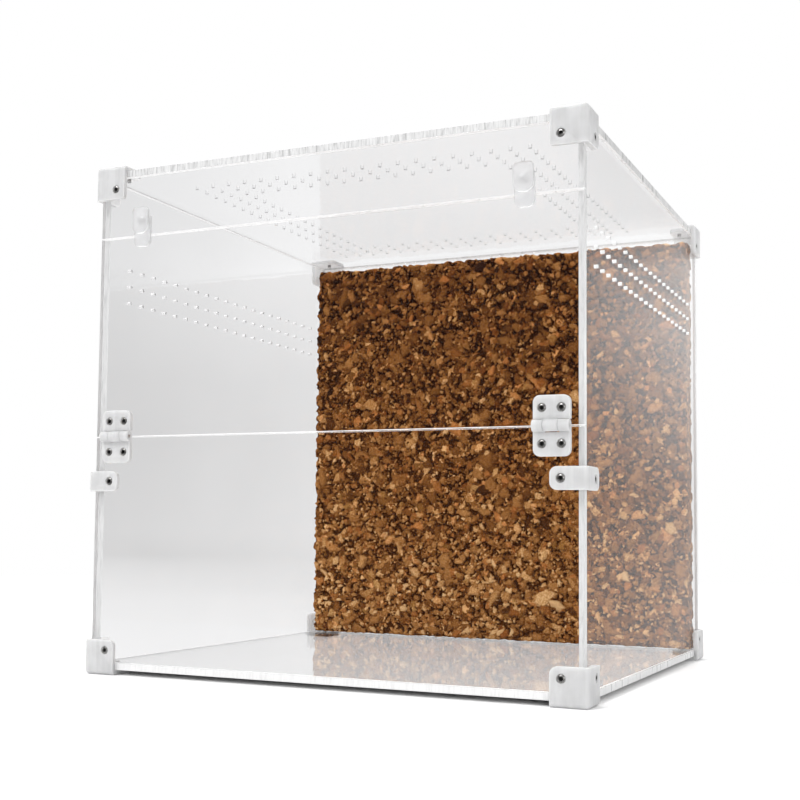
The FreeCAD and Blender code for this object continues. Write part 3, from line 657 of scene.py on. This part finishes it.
def vent_ring():
    """Holes of a square grid that lie in its outermost rows."""
    xs = row_places(LID_COLUMNS, LID_PITCH, 0)
    ys = row_places(LID_COLUMNS, LID_PITCH, MIDDLE_Y)
    last = LID_COLUMNS - 1
    places = []
    for row, y in enumerate(ys):
        for column, x in enumerate(xs):
            if min(row, column, last - row, last - column) < VENT_ROWS:
                places.append((x, y, VENT_RADIUS))
    return places


def side_vents():
    ys = row_places(SIDE_COLUMNS, SIDE_PITCH, MIDDLE_Y)
    zs = [TOP - SIDE_VENT_DROP - row * SIDE_ROW_PITCH for row in range(VENT_ROWS)]
    return [(y, z, VENT_RADIUS) for z in zs for y in ys]


INSET = BRACKET_SCREW - PLATE
SCREW_XS = (LEFT + INSET, RIGHT - INSET)
SCREW_YS = (FRONT + INSET, BACK - INSET)
LOWER_SCREW_Z, UPPER_SCREW_Z = UNDERSIDE + INSET, TOP - INSET
SCREW_ZS = (LOWER_SCREW_Z, UPPER_SCREW_Z)
BRACE_Z = sum(corner.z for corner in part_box("side_brace_right")) / 2
BRACE_FRONT_XS = (LEFT - PLATE + BRACE_FRONT_SCREW, RIGHT + PLATE - BRACE_FRONT_SCREW)
BRACE_SIDE_Y = FRONT - PLATE + BRACE_SIDE_SCREW
HINGE_MIDDLES = [sum(corner.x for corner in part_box(f"hinge_pin_{side}")) / 2 for side in SIDES]
LEAF_SCREW_XS = [middle + way * LEAF_SCREW_PITCH / 2 for middle in HINGE_MIDDLES for way in (-1, 1)]
LOWER_LEAF_Z, DOOR_LEAF_Z = PIN_Z - LEAF_SCREW_RISE, PIN_Z + LEAF_SCREW_RISE

level_holes = screw_holes(SCREW_XS, SCREW_YS)
lower_front_holes = screw_holes(SCREW_XS, (LOWER_SCREW_Z,)) + screw_holes(BRACE_FRONT_XS, (BRACE_Z,))
lower_front_holes += screw_holes(LEAF_SCREW_XS, (LOWER_LEAF_Z,))
side_holes = screw_holes(SCREW_YS, SCREW_ZS) + [(BRACE_SIDE_Y, BRACE_Z, SHEET_HOLE)] + side_vents()
sheet_piece("top_panel", level_holes + vent_ring(), LID_SHEET, LID_CUT, SHADED_LID_HOLE, LID_HOLE_WHITENED)
sheet_piece("bottom_panel", level_holes, FLOOR_SHEET, FLOOR_CUT)
sheet_piece("left_side_panel", side_holes)
sheet_piece("right_side_panel", side_holes, RIGHT_SHEET)
sheet_piece("back_panel", screw_holes(SCREW_XS, SCREW_ZS))
sheet_piece("front_lower_panel", lower_front_holes, ease=SEAM_EASE)
sheet_piece("door_panel", screw_holes(LEAF_SCREW_XS, (DOOR_LEAF_Z,)), ease=SEAM_EASE)
sheet_piece("front_top_strip", screw_holes(SCREW_XS, (UPPER_SCREW_Z,)), ease=SEAM_EASE)


# White brackets and braces

FOLD_RADIUS = 2.4 * MM
PLATE_EASE = 0.3 * MM


def seat(item, axis, centre, face):
    """Screw hole through a plate whose outer face is at this height, and a round recess for the head."""
    combine(item, rod(axis, centre, PLATE_HOLE, face - MM, face + 2 * PLATE), "DIFFERENCE")
    combine(item, rod(axis, centre, SEAT_RADIUS, face - MM, face + SEAT_DEPTH), "DIFFERENCE")


def corner_shell(free_radii):
    """One corner bracket with its outer corner at the origin and its plates along +X, +Y and +Z."""
    item = block((0, 0, 0), (BRACKET_REACH,) * 3)
    on_fold = lambda a, b: sum(same(a[i], 0) and same(b[i], 0) for i in range(3)) == 2
    round_edges(item, on_fold, FOLD_RADIUS)
    inner = PLATE - HAIR
    combine(item, block((inner,) * 3, (BRACKET_REACH + MM,) * 3), "DIFFERENCE")
    for axis, radius in enumerate(free_radii):
        others = [i for i in range(3) if i != axis]
        is_free = lambda a, b: all(same(end[i], BRACKET_REACH) for end in (a, b) for i in others)
        round_edges(item, is_free, radius)
    for axis in "xyz":
        seat(item, axis, (BRACKET_SCREW, BRACKET_SCREW), 0)
    soften(item, PLATE_EASE)
    smooth(item)
    # Faces that lie against the sheets take the second material, whose glow is painted light on faces left
    # in shade.
    for face in item.data.polygons:
        lies_inside = any(same(face.center[i], inner) and face.normal[i] > 0.9 for i in range(3))
        face.material_index = 1 if lies_inside else 0
    return item


def brace_shell():
    """A side brace with its outer fold on the Z axis."""
    item = block((0, 0, 0), (BRACE_FRONT_REACH, BRACE_SIDE_REACH, BRACE_HEIGHT))
    round_edges(item, lambda a, b: all(same(end[i], 0) for end in (a, b) for i in (0, 1)), FOLD_RADIUS)
    inner = PLATE - HAIR
    hollow_end = (BRACE_FRONT_REACH + MM, BRACE_SIDE_REACH + MM, BRACE_HEIGHT + MM)
    combine(item, block((inner, inner, -MM), hollow_end), "DIFFERENCE")
    for axis, reach in ((0, BRACE_FRONT_REACH), (1, BRACE_SIDE_REACH)):
        at_tip = lambda end: same(end[axis], reach) and (same(end.z, 0) or same(end.z, BRACE_HEIGHT))
        round_edges(item, lambda a, b: at_tip(a) and at_tip(b) and same(a.z, b.z), BRACE_CORNER)
    seat(item, "y", (BRACE_FRONT_SCREW, BRACE_HEIGHT / 2), 0)
    seat(item, "x", (BRACE_SIDE_SCREW, BRACE_HEIGHT / 2), 0)
    soften(item, PLATE_EASE)
    smooth(item)
    return item


def mirrored_piece(shell, source, signs, materials):
    """A copy of a shell in place of a node, mirrored along each axis whose sign is -1."""
    low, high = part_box(source)
    corner = Vector(low[i] if signs[i] > 0 else high[i] for i in range(3))
    mesh = shell.data.copy()
    mesh.transform(Matrix.Translation(corner) @ Matrix.Diagonal((*signs, 1)))
    if math.prod(signs) < 0:
        mesh.flip_normals()
    place_piece(add_object("copy", mesh, materials), source + "_moulding", source)


SHELLS = {
    "bottom": corner_shell((TIGHT_CORNER, ROUND_CORNER, ROUND_CORNER)),
    "top": corner_shell((ROUND_CORNER, UPPER_TIGHT_CORNER, ROUND_CORNER)),
}
for depth, y_sign in (("front", 1), ("back", -1)):
    for level, z_sign in (("bottom", 1), ("top", -1)):
        for side, x_sign in SIDES.items():
            source = f"corner_bracket_{depth}_{level}_{side}"
            mirrored_piece(SHELLS[level], source, (x_sign, y_sign, z_sign), (WHITE, WHITE_INNER_GLOW))
drop(*SHELLS.values())

brace = brace_shell()
for side, x_sign in SIDES.items():
    mirrored_piece(brace, f"side_brace_{side}", (x_sign, 1, 1), (WHITE,))
drop(brace)


# Hinges

LEAF_FOOT = 3.4 * MM
WEB_REACH = 3.5 * MM
LEAF_EASE = 0.1 * MM


def leaf_piece(source, way, knuckles):
    """A hinge leaf, whose plate stands away from the pin: way is +1 up or -1 down."""
    low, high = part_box(source)
    plate_front = high.y - PLATE
    foot = PIN_Z + way * LEAF_FOOT
    tip = high.z if way > 0 else low.z
    item = block((low.x, plate_front, min(foot, tip)), (high.x, high.y - HAIR, max(foot, tip)))
    round_edges(item, lambda a, b: same(a.z, tip) and same(b.z, tip) and same(a.x, b.x), LEAF_CORNER)
    for start, end in knuckles:
        start_x, end_x = low.x + start, low.x + end
        combine(item, rod("x", (PIN_Y, PIN_Z), KNUCKLE_RADIUS, start_x, end_x, 40), "UNION")
        near, far = sorted((PIN_Z, PIN_Z + way * WEB_REACH))
        web = block((start_x, plate_front + HAIR / 2, near), (end_x, PIN_Y + KNUCKLE_RADIUS, far))
        combine(item, web, "UNION")
    combine(item, rod("x", (PIN_Y, PIN_Z), PIN_BORE, low.x - MM, high.x + MM, 24), "DIFFERENCE")
    for sign in (-1, 1):
        screw_x = (low.x + high.x) / 2 + sign * LEAF_SCREW_PITCH / 2
        seat(item, "y", (screw_x, PIN_Z + way * LEAF_SCREW_RISE), plate_front)
    soften(item, LEAF_EASE)
    smooth(item)
    item.data.materials.clear()
    item.data.materials.append(WHITE)
    place_piece(item, source + "_moulding", source)


OUTER_KNUCKLES = ((0, KNUCKLE_LENGTH), (HINGE_WIDTH - KNUCKLE_LENGTH, HINGE_WIDTH))
MIDDLE_START = KNUCKLE_LENGTH + KNUCKLE_GAP
for side in SIDES:
    leaf_piece(f"hinge_lower_leaf_{side}", -1, OUTER_KNUCKLES)
    leaf_piece(f"hinge_door_leaf_{side}", 1, ((MIDDLE_START, HINGE_WIDTH - MIDDLE_START),))
    pin_materials = frame["nodes"][f"hinge_pin_{side}"].data.materials
    pin_materials.clear()
    pin_materials.append(PIN_STEEL)


# Catches

TAB_CORNERS = (3.5 * MM, 0.5 * MM)
TAB_EASE = 0.45 * MM
BOSS_CORNERS = (4.5 * MM, 2.5 * MM)
BOSS_EASE = 0.5 * MM
DISC_EASE = 0.2 * MM


def catch_shell(source, corner_radii):
    """A block the size of its node, with its lower and its upper corners rounded."""
    low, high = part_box(source)
    item = block(low, high)
    for level, radius in zip((low.z, high.z), corner_radii):
        round_edges(item, lambda a, b: same(a.x, b.x) and same(a.z, level) and same(b.z, level), radius, 8)
    return item


def finish_catch(item, source, ease):
    soften(item, ease, segments=3)
    smooth(item)
    item.data.materials.append(CATCH)
    place_piece(item, source + "_moulding", source)


def disc_piece(source, material):
    low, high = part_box(source)
    middle = (low + high) / 2
    item = rod("y", (middle.x, middle.z), DISC_RADIUS, low.y + HAIR, high.y - HAIR, 36)
    soften(item, DISC_EASE)
    smooth(item)
    item.data.materials.append(material)
    place_piece(item, source + "_disc", source)


for side in SIDES:
    tab_name, boss_name = f"catch_tab_{side}", f"catch_boss_{side}"
    finish_catch(catch_shell(tab_name, TAB_CORNERS), tab_name, TAB_EASE)
    boss = catch_shell(boss_name, BOSS_CORNERS)
    low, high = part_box(f"catch_magnet_{side}")
    middle = (low + high) / 2
    pocket = rod("y", (middle.x, middle.z), DISC_POCKET, low.y - HAIR, high.y + MM, 36)
    combine(boss, pocket, "DIFFERENCE")
    boss.data.transform(Matrix.Translation((0, -HAIR, 0)))
    finish_catch(boss, boss_name, BOSS_EASE)
    disc_piece(f"catch_magnet_{side}", MAGNET_METAL)
    disc_piece(f"catch_striker_{side}", STRIKER_STEEL)


# Button-head screws, with heights measured down from the face of the plate

SCREW_SIDES = 24
SOCKET_FLAT = 0.75 * MM
SOCKET_FLOOR = 0.95 * MM
SOCKET_RIM = 0.34 * MM
MOUTH_RADIUS = 1.12 * MM
MOUTH_DROP = 0.22 * MM
DOME_SHARES = (0.35, 0.6, 0.8, 0.93, 1.0)
DOME_START = 1.3 * MM
DOME_TOP = 0.2 * MM
DOME_RISE = 0.8 * MM
HEAD_FOOT = 1.46 * MM
THREAD_START = 1.7 * MM
THREAD_PITCH = 0.38 * MM
THREAD_TURNS = 12
THREAD_ROOT = 0.84 * SHANK_RADIUS
TIP_RADIUS = 0.8 * SHANK_RADIUS
TIP_DROP = 6.4 * MM
SCREW_ANGLES = [2 * math.pi * k / SCREW_SIDES for k in range(SCREW_SIDES)]


def screw_rings():
    """Radii round each ring of the screw and how far down it lies, from the socket's floor over the dome
    and down the threaded shank."""
    sixth = math.pi / 3
    hexagon = [SOCKET_FLAT / math.cos((angle + sixth / 2) % sixth - sixth / 2) for angle in SCREW_ANGLES]
    round_rings = [(MOUTH_RADIUS, MOUTH_DROP)]
    for share in DOME_SHARES:
        radius = max(DOME_START, HEAD_RADIUS * share)
        fall = DOME_RISE * (1 - math.sqrt(1 - (0.96 * share) ** 2))
        round_rings.append((radius, DOME_TOP + fall))
    round_rings += [(HEAD_RADIUS, HEAD_FOOT), (SHANK_RADIUS, HEAD_FOOT)]
    for turn in range(THREAD_TURNS):
        crest = THREAD_START + turn * THREAD_PITCH
        round_rings += [(SHANK_RADIUS, crest), (THREAD_ROOT, crest + THREAD_PITCH / 2)]
    round_rings.append((TIP_RADIUS, TIP_DROP))
    rings = [(hexagon, SOCKET_FLOOR), (hexagon, SOCKET_RIM)]
    return rings + [([radius] * SCREW_SIDES, down) for radius, down in round_rings]


def add_screw(bm, whole):
    rings = []
    for radii, down in screw_rings():
        ring = []
        for radius, angle in zip(radii, SCREW_ANGLES):
            spot = Vector((radius * math.cos(angle), radius * math.sin(angle), -down))
            ring.append(bm.verts.new(whole @ spot))
        rings.append(ring)
    for place, (upper, lower) in enumerate(zip(rings, rings[1:])):
        for k in range(SCREW_SIDES):
            face = bm.faces.new((upper[k - 1], lower[k - 1], lower[k], upper[k]))
            # The socket's floor and walls take the near-black steel: painted shade.
            face.material_index = 1 if place < 2 else 0
    bm.faces.new(rings[0]).material_index = 1
    bm.faces.new(rings[-1][::-1])


def screws_piece(source, places):
    """All screws of one node, each at a point of the plate's face with the way it faces."""
    bm = bmesh.new()
    for number, (point, facing) in enumerate(places):
        turn = Vector(facing).to_track_quat("Z", "Y").to_matrix().to_4x4()
        spin = Matrix.Rotation(0.7 * number + 0.3, 4, "Z")
        add_screw(bm, Matrix.Translation(point) @ turn @ spin)
    bmesh.ops.recalc_face_normals(bm, faces=bm.faces)
    item = from_bmesh(source, bm, (SCREW_STEEL, SOCKET_SHADE_STEEL))
    smooth(item, 32)
    place_piece(item, source + "_steel", source)


def bracket_screws(z_face, z_sign):
    """Three screws in each of the four brackets whose level plates have their outer faces at z_face."""
    z = z_face + z_sign * BRACKET_SCREW
    places = []
    for x_face, x_sign in ((LEFT - PLATE, 1), (RIGHT + PLATE, -1)):
        for y_face, y_sign in ((FRONT - PLATE, 1), (BACK + PLATE, -1)):
            x, y = x_face + x_sign * BRACKET_SCREW, y_face + y_sign * BRACKET_SCREW
            places.append(((x, y, z_face), (0, 0, -z_sign)))
            places.append(((x, y_face, z), (0, -y_sign, 0)))
            places.append(((x_face, y, z), (-x_sign, 0, 0)))
    return places


def leaf_screws(leaf, z):
    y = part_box(f"hinge_{leaf}_leaf_left")[1].y - PLATE
    return [((x, y, z), (0, -1, 0)) for x in LEAF_SCREW_XS]


brace_screws = [((x, FRONT - PLATE, BRACE_Z), (0, -1, 0)) for x in BRACE_FRONT_XS]
for x, way in ((LEFT - PLATE, -1), (RIGHT + PLATE, 1)):
    brace_screws.append(((x, BRACE_SIDE_Y, BRACE_Z), (way, 0, 0)))
screws_piece("corner_bracket_screws_bottom", bracket_screws(low_box.z, 1))
screws_piece("corner_bracket_screws_top", bracket_screws(high_box.z, -1))
screws_piece("side_brace_screws", brace_screws)
screws_piece("hinge_lower_leaf_screws", leaf_screws("lower", LOWER_LEAF_Z))
screws_piece("hinge_door_leaf_screws", leaf_screws("door", DOOR_LEAF_Z))


# Granulated cork, whose relief and outlines are worked out in millimetres

CORK_STEP = 0.5 * MM
CHIPS_PROUD = 0.9
GAP_LEVEL = -2.6
GAP_TONE = 0.25
GAP_HUE = 0.4
CHIP_KINDS = (
    # count, smallest and largest half size, lowest and highest top
    (17000, 0.6, 1.2, -1.4, -0.6),
    (7500, 1.1, 2.1, -1.25, -0.35),
    (1900, 2.0, 3.6, -1.1, -0.15),
    (230, 3.6, 6.4, -0.9, 0.0),
)
CHIP_OVERHANG = 3
EDGE_FADE = 14
BORDER_DROP = 1.5
SLAB_SAMPLES = 48
CUT_RINGS = 12
CUT_ROUGHNESS = 0.45 * MM
BACK_GAP = 0.1 * MM


def chip_tone(random, half):
    """Most chips lie round the middle of the tones; a few are dark as bark, and one in seven is pale."""
    tone = float(np.clip(random.normal(0.47, 0.15) + 0.06 * (half > 2.5), 0.08, 0.97))
    draw = random.random()
    if draw < 0.05:
        tone = random.uniform(0.05, 0.18)
    elif draw > 0.86:
        tone = random.uniform(0.68, 0.95)
    return tone


def chip_field(width, height):
    """Relief of the front face below its plane, and each point's chip tone, hue and share of the rim."""
    random = np.random.default_rng(20)
    step = CORK_STEP / MM
    xs = np.linspace(0, width, round(width / step) + 1)
    zs = np.linspace(0, height, round(height / step) + 1)
    shape = (len(zs), len(xs))
    top = np.full(shape, GAP_LEVEL)
    tone = np.full(shape, GAP_TONE)
    hue = np.full(shape, GAP_HUE)
    rim = np.zeros(shape)
    for count, small, large, lowest, highest in CHIP_KINDS:
        for _ in range(count):
            cx = random.uniform(-CHIP_OVERHANG, width + CHIP_OVERHANG)
            cz = random.uniform(-CHIP_OVERHANG, height + CHIP_OVERHANG)
            half = small + (large - small) * random.random() ** 1.6
            stretch = random.uniform(1.0, 1.75)
            turn = random.uniform(0, math.pi)
            level = random.uniform(lowest, highest)
            lean = random.normal(0, 0.3, 2)
            sides = int(random.integers(5, 9))
            ways = (np.arange(sides) + random.uniform(-0.35, 0.35, sides)) * 2 * math.pi / sides
            reaches = half * random.uniform(0.72, 1.12, sides)
            own_tone = chip_tone(random, half)
            own_hue = random.random()
            reach = half * stretch * 1.3
            c0, c1 = np.searchsorted(xs, (cx - reach, cx + reach))
            r0, r1 = np.searchsorted(zs, (cz - reach, cz + reach))
            if c0 >= c1 or r0 >= r1:
                continue
            dx, dz = np.meshgrid(xs[c0:c1] - cx, zs[r0:r1] - cz)
            along = (dx * math.cos(turn) + dz * math.sin(turn)) / stretch
            across = -dx * math.sin(turn) + dz * math.cos(turn)
            inside = np.full(dx.shape, np.inf)
            for way, far in zip(ways, reaches):
                inside = np.minimum(inside, far - (along * math.cos(way) + across * math.sin(way)))
            edge = np.clip(inside / (0.5 * half), 0, 1)
            surface = level + lean[0] * along + lean[1] * across - 0.5 * half * (1 - edge) ** 2
            window = (slice(r0, r1), slice(c0, c1))
            wins = (inside > 0) & (surface > top[window])
            for field, own in ((top, surface), (tone, own_tone), (hue, own_hue), (rim, edge)):
                field[window] = np.where(wins, own, field[window])
    top -= top.max()
    return xs, zs, top, tone, hue, rim


def blurred(field, times=1):
    for _ in range(times):
        padded = np.pad(field, 1, mode="edge")
        beside = padded[:-2, 1:-1] + padded[2:, 1:-1] + padded[1:-1, :-2] + padded[1:-1, 2:]
        field = (beside + 4 * padded[1:-1, 1:-1]) / 8
    return field


def crumbled_edge(length, count, seed, deepest):
    """How far the outline is set in along one side: the rounded outlines of the chips there."""
    random = np.random.default_rng(seed)
    places = np.linspace(0, length, count)
    out = np.zeros(count)
    place = 0.0
    while place < length + 4:
        half = random.uniform(1.0, 4.6)
        reach = random.uniform(0.25, 1.0) * deepest
        share = np.clip(1 - ((places - place) / half) ** 2, 0, 1)
        out = np.maximum(out, reach * np.sqrt(share) ** 0.8)
        place += half * random.uniform(0.7, 1.35)
    return deepest - out


def slab_face(spots_x, spots_z):
    """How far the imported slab's uneven face lies behind its foremost point, over a grid of places."""
    source = frame["nodes"]["cork_background"]
    tree = BVHTree.FromObject(source, bpy.context.evaluated_depsgraph_get())
    back_to_own = source.matrix_world.inverted()
    ahead = back_to_own.to_3x3() @ Vector((0, 1, 0))
    front_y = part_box("cork_background")[0].y
    start_y = front_y - 10 * MM
    depths = np.full((len(spots_z), len(spots_x)), np.nan)
    for row, z in enumerate(spots_z):
        for column, x in enumerate(spots_x):
            hit = tree.ray_cast(back_to_own @ Vector((x, start_y, z)), ahead)[0]
            if hit is not None:
                depths[row, column] = (source.matrix_world @ hit).y - front_y
    depths = np.where(np.isnan(depths), np.nanmean(depths), depths)
    return blurred(depths)


def stretched(field, rows, columns):
    """The field, spread over a finer grid by straight lines between its points."""
    old_rows, old_columns = field.shape
    across = np.linspace(0, old_columns - 1, columns)
    wide = np.array([np.interp(across, np.arange(old_columns), line) for line in field])
    upward = np.linspace(0, old_rows - 1, rows)
    return np.array([np.interp(upward, np.arange(old_rows), line) for line in wide.T]).T


def front_points(low, high, xs, zs, top):
    """The front face: the chips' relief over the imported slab's face, with crumbled outlines."""
    width, height = xs[-1], zs[-1]
    grid_x, grid_z = np.meshgrid(xs, zs)
    fade = lambda distance: np.clip(1 - distance / EDGE_FADE, 0, 1) ** 2
    left = crumbled_edge(height, len(zs), 31, 3.4)[:, None]
    right = crumbled_edge(height, len(zs), 32, 1.6)[:, None]
    foot = crumbled_edge(width, len(xs), 33, 1.2)[None, :]
    crest = crumbled_edge(width, len(xs), 34, 2.6)[None, :]
    moved_x = grid_x + left * fade(grid_x) - right * fade(width - grid_x)
    moved_z = grid_z + foot * fade(grid_z) - crest * fade(height - grid_z)
    border = np.minimum.reduce([grid_x, width - grid_x, grid_z, height - grid_z])
    spots_x = np.linspace(low.x + MM, high.x - MM, SLAB_SAMPLES)
    spots_z = np.linspace(low.z + MM, high.z - MM, SLAB_SAMPLES)
    slab = stretched(slab_face(spots_x, spots_z), *top.shape) / MM
    relief = slab - top - CHIPS_PROUD + BORDER_DROP * np.exp(-border / 0.9)
    points = [low.x + moved_x * MM, low.y + relief * MM, low.z + moved_z * MM]
    return np.stack(points, axis=-1).reshape(-1, 3)


def cut_rings(start, low, high):
    """Points of the cut sides, ring after ring from the front's outline to the back, a little rough."""
    random = np.random.default_rng(35)
    back_y = high.y - BACK_GAP
    centre = np.array([(low.x + high.x) / 2, 0, (low.z + high.z) / 2])
    rough = blurred(random.normal(0, 1, (CUT_RINGS + 1, len(start))))
    rings = []
    for number in range(1, CUT_RINGS + 1):
        share = number / CUT_RINGS
        ring = start.copy()
        ring[:, 1] = start[:, 1] + (back_y - start[:, 1]) * share
        away = ring - centre
        sizes = np.abs(away[:, [0, 2]]).max(axis=1)
        push = rough[number] * CUT_ROUGHNESS * math.sin(math.pi * share) / sizes
        for axis in (0, 2):
            ring[:, axis] = np.clip(ring[:, axis] + away[:, axis] * push, low[axis], high[axis])
        rings.append(ring)
    return rings


def four_sided(first, second, third, fourth):
    """Faces from four lists of corners."""
    return np.stack([first, second, third, fourth], axis=-1).reshape(-1, 4).tolist()


def cork_piece():
    low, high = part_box("cork_background")
    xs, zs, top, tone, hue, rim = chip_field((high.x - low.x) / MM, (high.z - low.z) / MM)
    front = front_points(low, high, xs, zs, top)
    index = np.arange(top.size).reshape(top.shape)
    faces = four_sided(index[:-1, :-1], index[:-1, 1:], index[1:, 1:], index[1:, :-1])
    face_count = len(faces)
    outline = np.concatenate([index[0, :-1], index[:-1, -1], index[-1, :0:-1], index[:0:-1, 0]])
    rings = cut_rings(front[outline], low, high)
    near = outline
    for number in range(len(rings)):
        far = top.size + number * len(outline) + np.arange(len(outline))
        faces += four_sided(far, np.roll(far, -1), np.roll(near, -1), near)
        near = far
    faces.append(near.tolist())
    mesh = bpy.data.meshes.new("cork_background")
    mesh.from_pydata(np.concatenate([front, *rings]).tolist(), [], faces)
    # Painted shade for the front face: darker where the relief is hollow and towards each chip's rim.
    hollow = np.clip((blurred(top, 10) - top) / 0.9, 0, 1)
    depth = np.clip(0.75 * hollow + 0.55 * (1 - rim) ** 2, 0, 1)
    height = zs[-1]
    grid_z = np.broadcast_to(zs[:, None], top.shape)
    # Painted light: a painted highlight along the top rim, and the tones lighter towards the bottom as
    # though lit from below.
    tone = tone + 0.4 * np.exp(-(height - grid_z) / 1.6) + 0.32 * (0.54 - grid_z / height)
    cut_points = np.full(len(rings) * len(outline), 0.4)
    for name, field in (("chip_tone", tone), ("chip_hue", hue), ("chip_painted_shade", depth)):
        stored = np.concatenate([field.ravel(), cut_points]).astype(np.float32)
        mesh.attributes.new(name, "FLOAT", "POINT").data.foreach_set("value", stored)
    item = add_object("cork", mesh, (CORK_FACE, CORK_CUT))
    slots = np.ones(len(faces), np.int32)
    slots[:face_count] = 0
    mesh.polygons.foreach_set("material_index", slots)
    bm = bmesh.new()
    bm.from_mesh(mesh)
    bmesh.ops.recalc_face_normals(bm, faces=bm.faces)
    bm.to_mesh(mesh)
    bm.free()
    place_piece(item, "granulated_cork_slab", "cork_background")


cork_piece()


# Floor, light and camera

FLOOR_RADIUS = 60
FLOOR_DROP = 0.02 * MM
SOFTBOX_WAY = Vector((-0.3, -0.72, 0.62)).normalized()
CAMERA_PLACE = (0.32142, -0.77914, 0.08648)
CAMERA_TURN = (94.109, -0.701, 25.968)


def make_floor():
    """Pale floor that runs out into the white backdrop. Seen through a sheet it pales with distance, and
    mirrored in one it shows the dim room in front of the box."""
    material, tree, shader = new_material("pale_floor")
    tree.nodes.remove(shader)
    path = light_path(tree)
    place = object_place(tree)
    distance = node(tree, "ShaderNodeVectorMath", {0: place}, operation="LENGTH").outputs["Value"]
    outward = node(tree, "ShaderNodeVectorMath", {0: place}, operation="NORMALIZE").outputs[0]
    lit = diffuse(tree, remap(tree, path["Is Camera Ray"], 0, 1, 0.95, 1.07))
    backdrop = emission(tree, rgba(1.0), 1.0)
    outside = mix_shaders(tree, remap(tree, distance, 0.45, 1.6), lit, backdrop)
    dimmed = remap(tree, axis_share(tree, place, "Y"), -0.5, 0.3, 0.12, 1.1)
    mirrored = emission(tree, rgba(1.0), dimmed)
    paling = ramp(tree, maths(tree, "MULTIPLY", distance, 0.25), {0.06: 1.0, 0.28: 0.92, 0.8: 0.88})
    to_left = remap(tree, axis_share(tree, outward, "X"), -0.46, -0.6, 0, 0.16)
    loss = maths(tree, "MULTIPLY", to_left, remap(tree, distance, 0.8, 3.5))
    through = emission(tree, paling, maths(tree, "SUBTRACT", 1.04, loss))
    inner = mix_shaders(tree, path["Is Glossy Ray"], outside, mirrored)
    show(tree, mix_shaders(tree, path["Is Transmission Ray"], inner, through))
    return material


def make_studio():
    """Even soft light; sheets and metal show a pale backdrop behind the box and a dim room before it."""
    world = bpy.data.worlds.new("studio")
    bpy.context.scene.world = world
    world.use_nodes = True
    tree = world.node_tree
    tree.nodes.clear()
    tree.nodes.new("ShaderNodeOutputWorld").name = "output"
    path = light_path(tree)
    way = tree.nodes.new("ShaderNodeTexCoord").outputs["Generated"]
    x, y, z = (axis_share(tree, way, axis) for axis in "XYZ")
    left = ramp(tree, remap(tree, z, -0.1, 0.5), {0.0: 0.95, 0.17: 0.915, 0.28: 0.885, 0.36: 0.9, 0.5: 1.0})
    right_stops = {0.0: 0.38, 0.5: 0.76, 0.68: 0.72, 0.84: 0.15, 1.0: 0.05}
    right = maths(tree, "MULTIPLY", ramp(tree, remap(tree, z, 0.03, 0.28), right_stops), 2.6)
    upward = blend(tree, remap(tree, x, -0.1, 0.1), left, right)
    sideways = remap(tree, x, -0.6, -0.46, 0.84)
    backward = remap(tree, y, -0.35, 0.1, 0.07)
    mirrored_only = blend(tree, path["Is Transmission Ray"], backward, 1.0)
    shaded = maths(tree, "MULTIPLY", sideways, mirrored_only)
    towards_softbox = node(tree, "ShaderNodeVectorMath", {0: way, 1: SOFTBOX_WAY}, operation="DOT_PRODUCT")
    softbox = remap(tree, towards_softbox.outputs["Value"], 0.93, 0.96)
    around = maths(tree, "MAXIMUM", maths(tree, "MULTIPLY", upward, shaded), softbox)
    seen_by_sheets = maths(tree, "MAXIMUM", path["Is Transmission Ray"], path["Is Glossy Ray"])
    lighting = blend(tree, path["Is Camera Ray"], remap(tree, z, 0, 0.6, 0.33, 0.85), 1.0)
    level = blend(tree, seen_by_sheets, lighting, around)
    show(tree, node(tree, "ShaderNodeBackground", {"Color": rgba(1.0), "Strength": level}).outputs[0])


def sun(name, towards, strength, spread):
    lamp_data = bpy.data.lights.new(name, "SUN")
    lamp_data.energy = strength
    lamp_data.angle = math.radians(spread)
    lamp = bpy.data.objects.new(name, lamp_data)
    lamp.rotation_euler = Vector(towards).to_track_quat("-Z", "Y").to_euler()
    bpy.context.scene.collection.objects.link(lamp)


def add_camera():
    """The camera that the photograph was taken with, as far as its edges tell."""
    camera_data = bpy.data.cameras.new("camera")
    camera_data.sensor_width = 36
    camera_data.lens = 57.771
    camera_data.shift_x = 0.0750
    camera_data.shift_y = 0.0484
    camera_data.clip_start = 0.05
    camera_data.clip_end = 200
    camera = bpy.data.objects.new("camera", camera_data)
    bpy.context.scene.collection.objects.link(camera)
    turn = Euler([math.radians(angle) for angle in CAMERA_TURN])
    camera.matrix_world = Matrix.LocRotScale(Vector(CAMERA_PLACE), turn, None)
    bpy.context.scene.camera = camera


bm = bmesh.new()
bmesh.ops.create_circle(bm, cap_ends=True, segments=64, radius=FLOOR_RADIUS)
floor = from_bmesh("floor", bm, (make_floor(),))
floor.location.z = low_box.z - FLOOR_DROP

make_studio()
sun("key_light", (0.45, 0.75, -1.0), 1.15, 20)
sun("rim_light", (0.3, -0.45, -1.0), 1.0, 30)
sun("fill_light", (-0.55, 0.8, -0.12), 0.65, 40)
add_camera()

scene = bpy.context.scene
scene.view_settings.view_transform = "Standard"
scene.cycles.max_bounces = 24
scene.cycles.transmission_bounces = 24
scene.cycles.transparent_max_bounces = 48
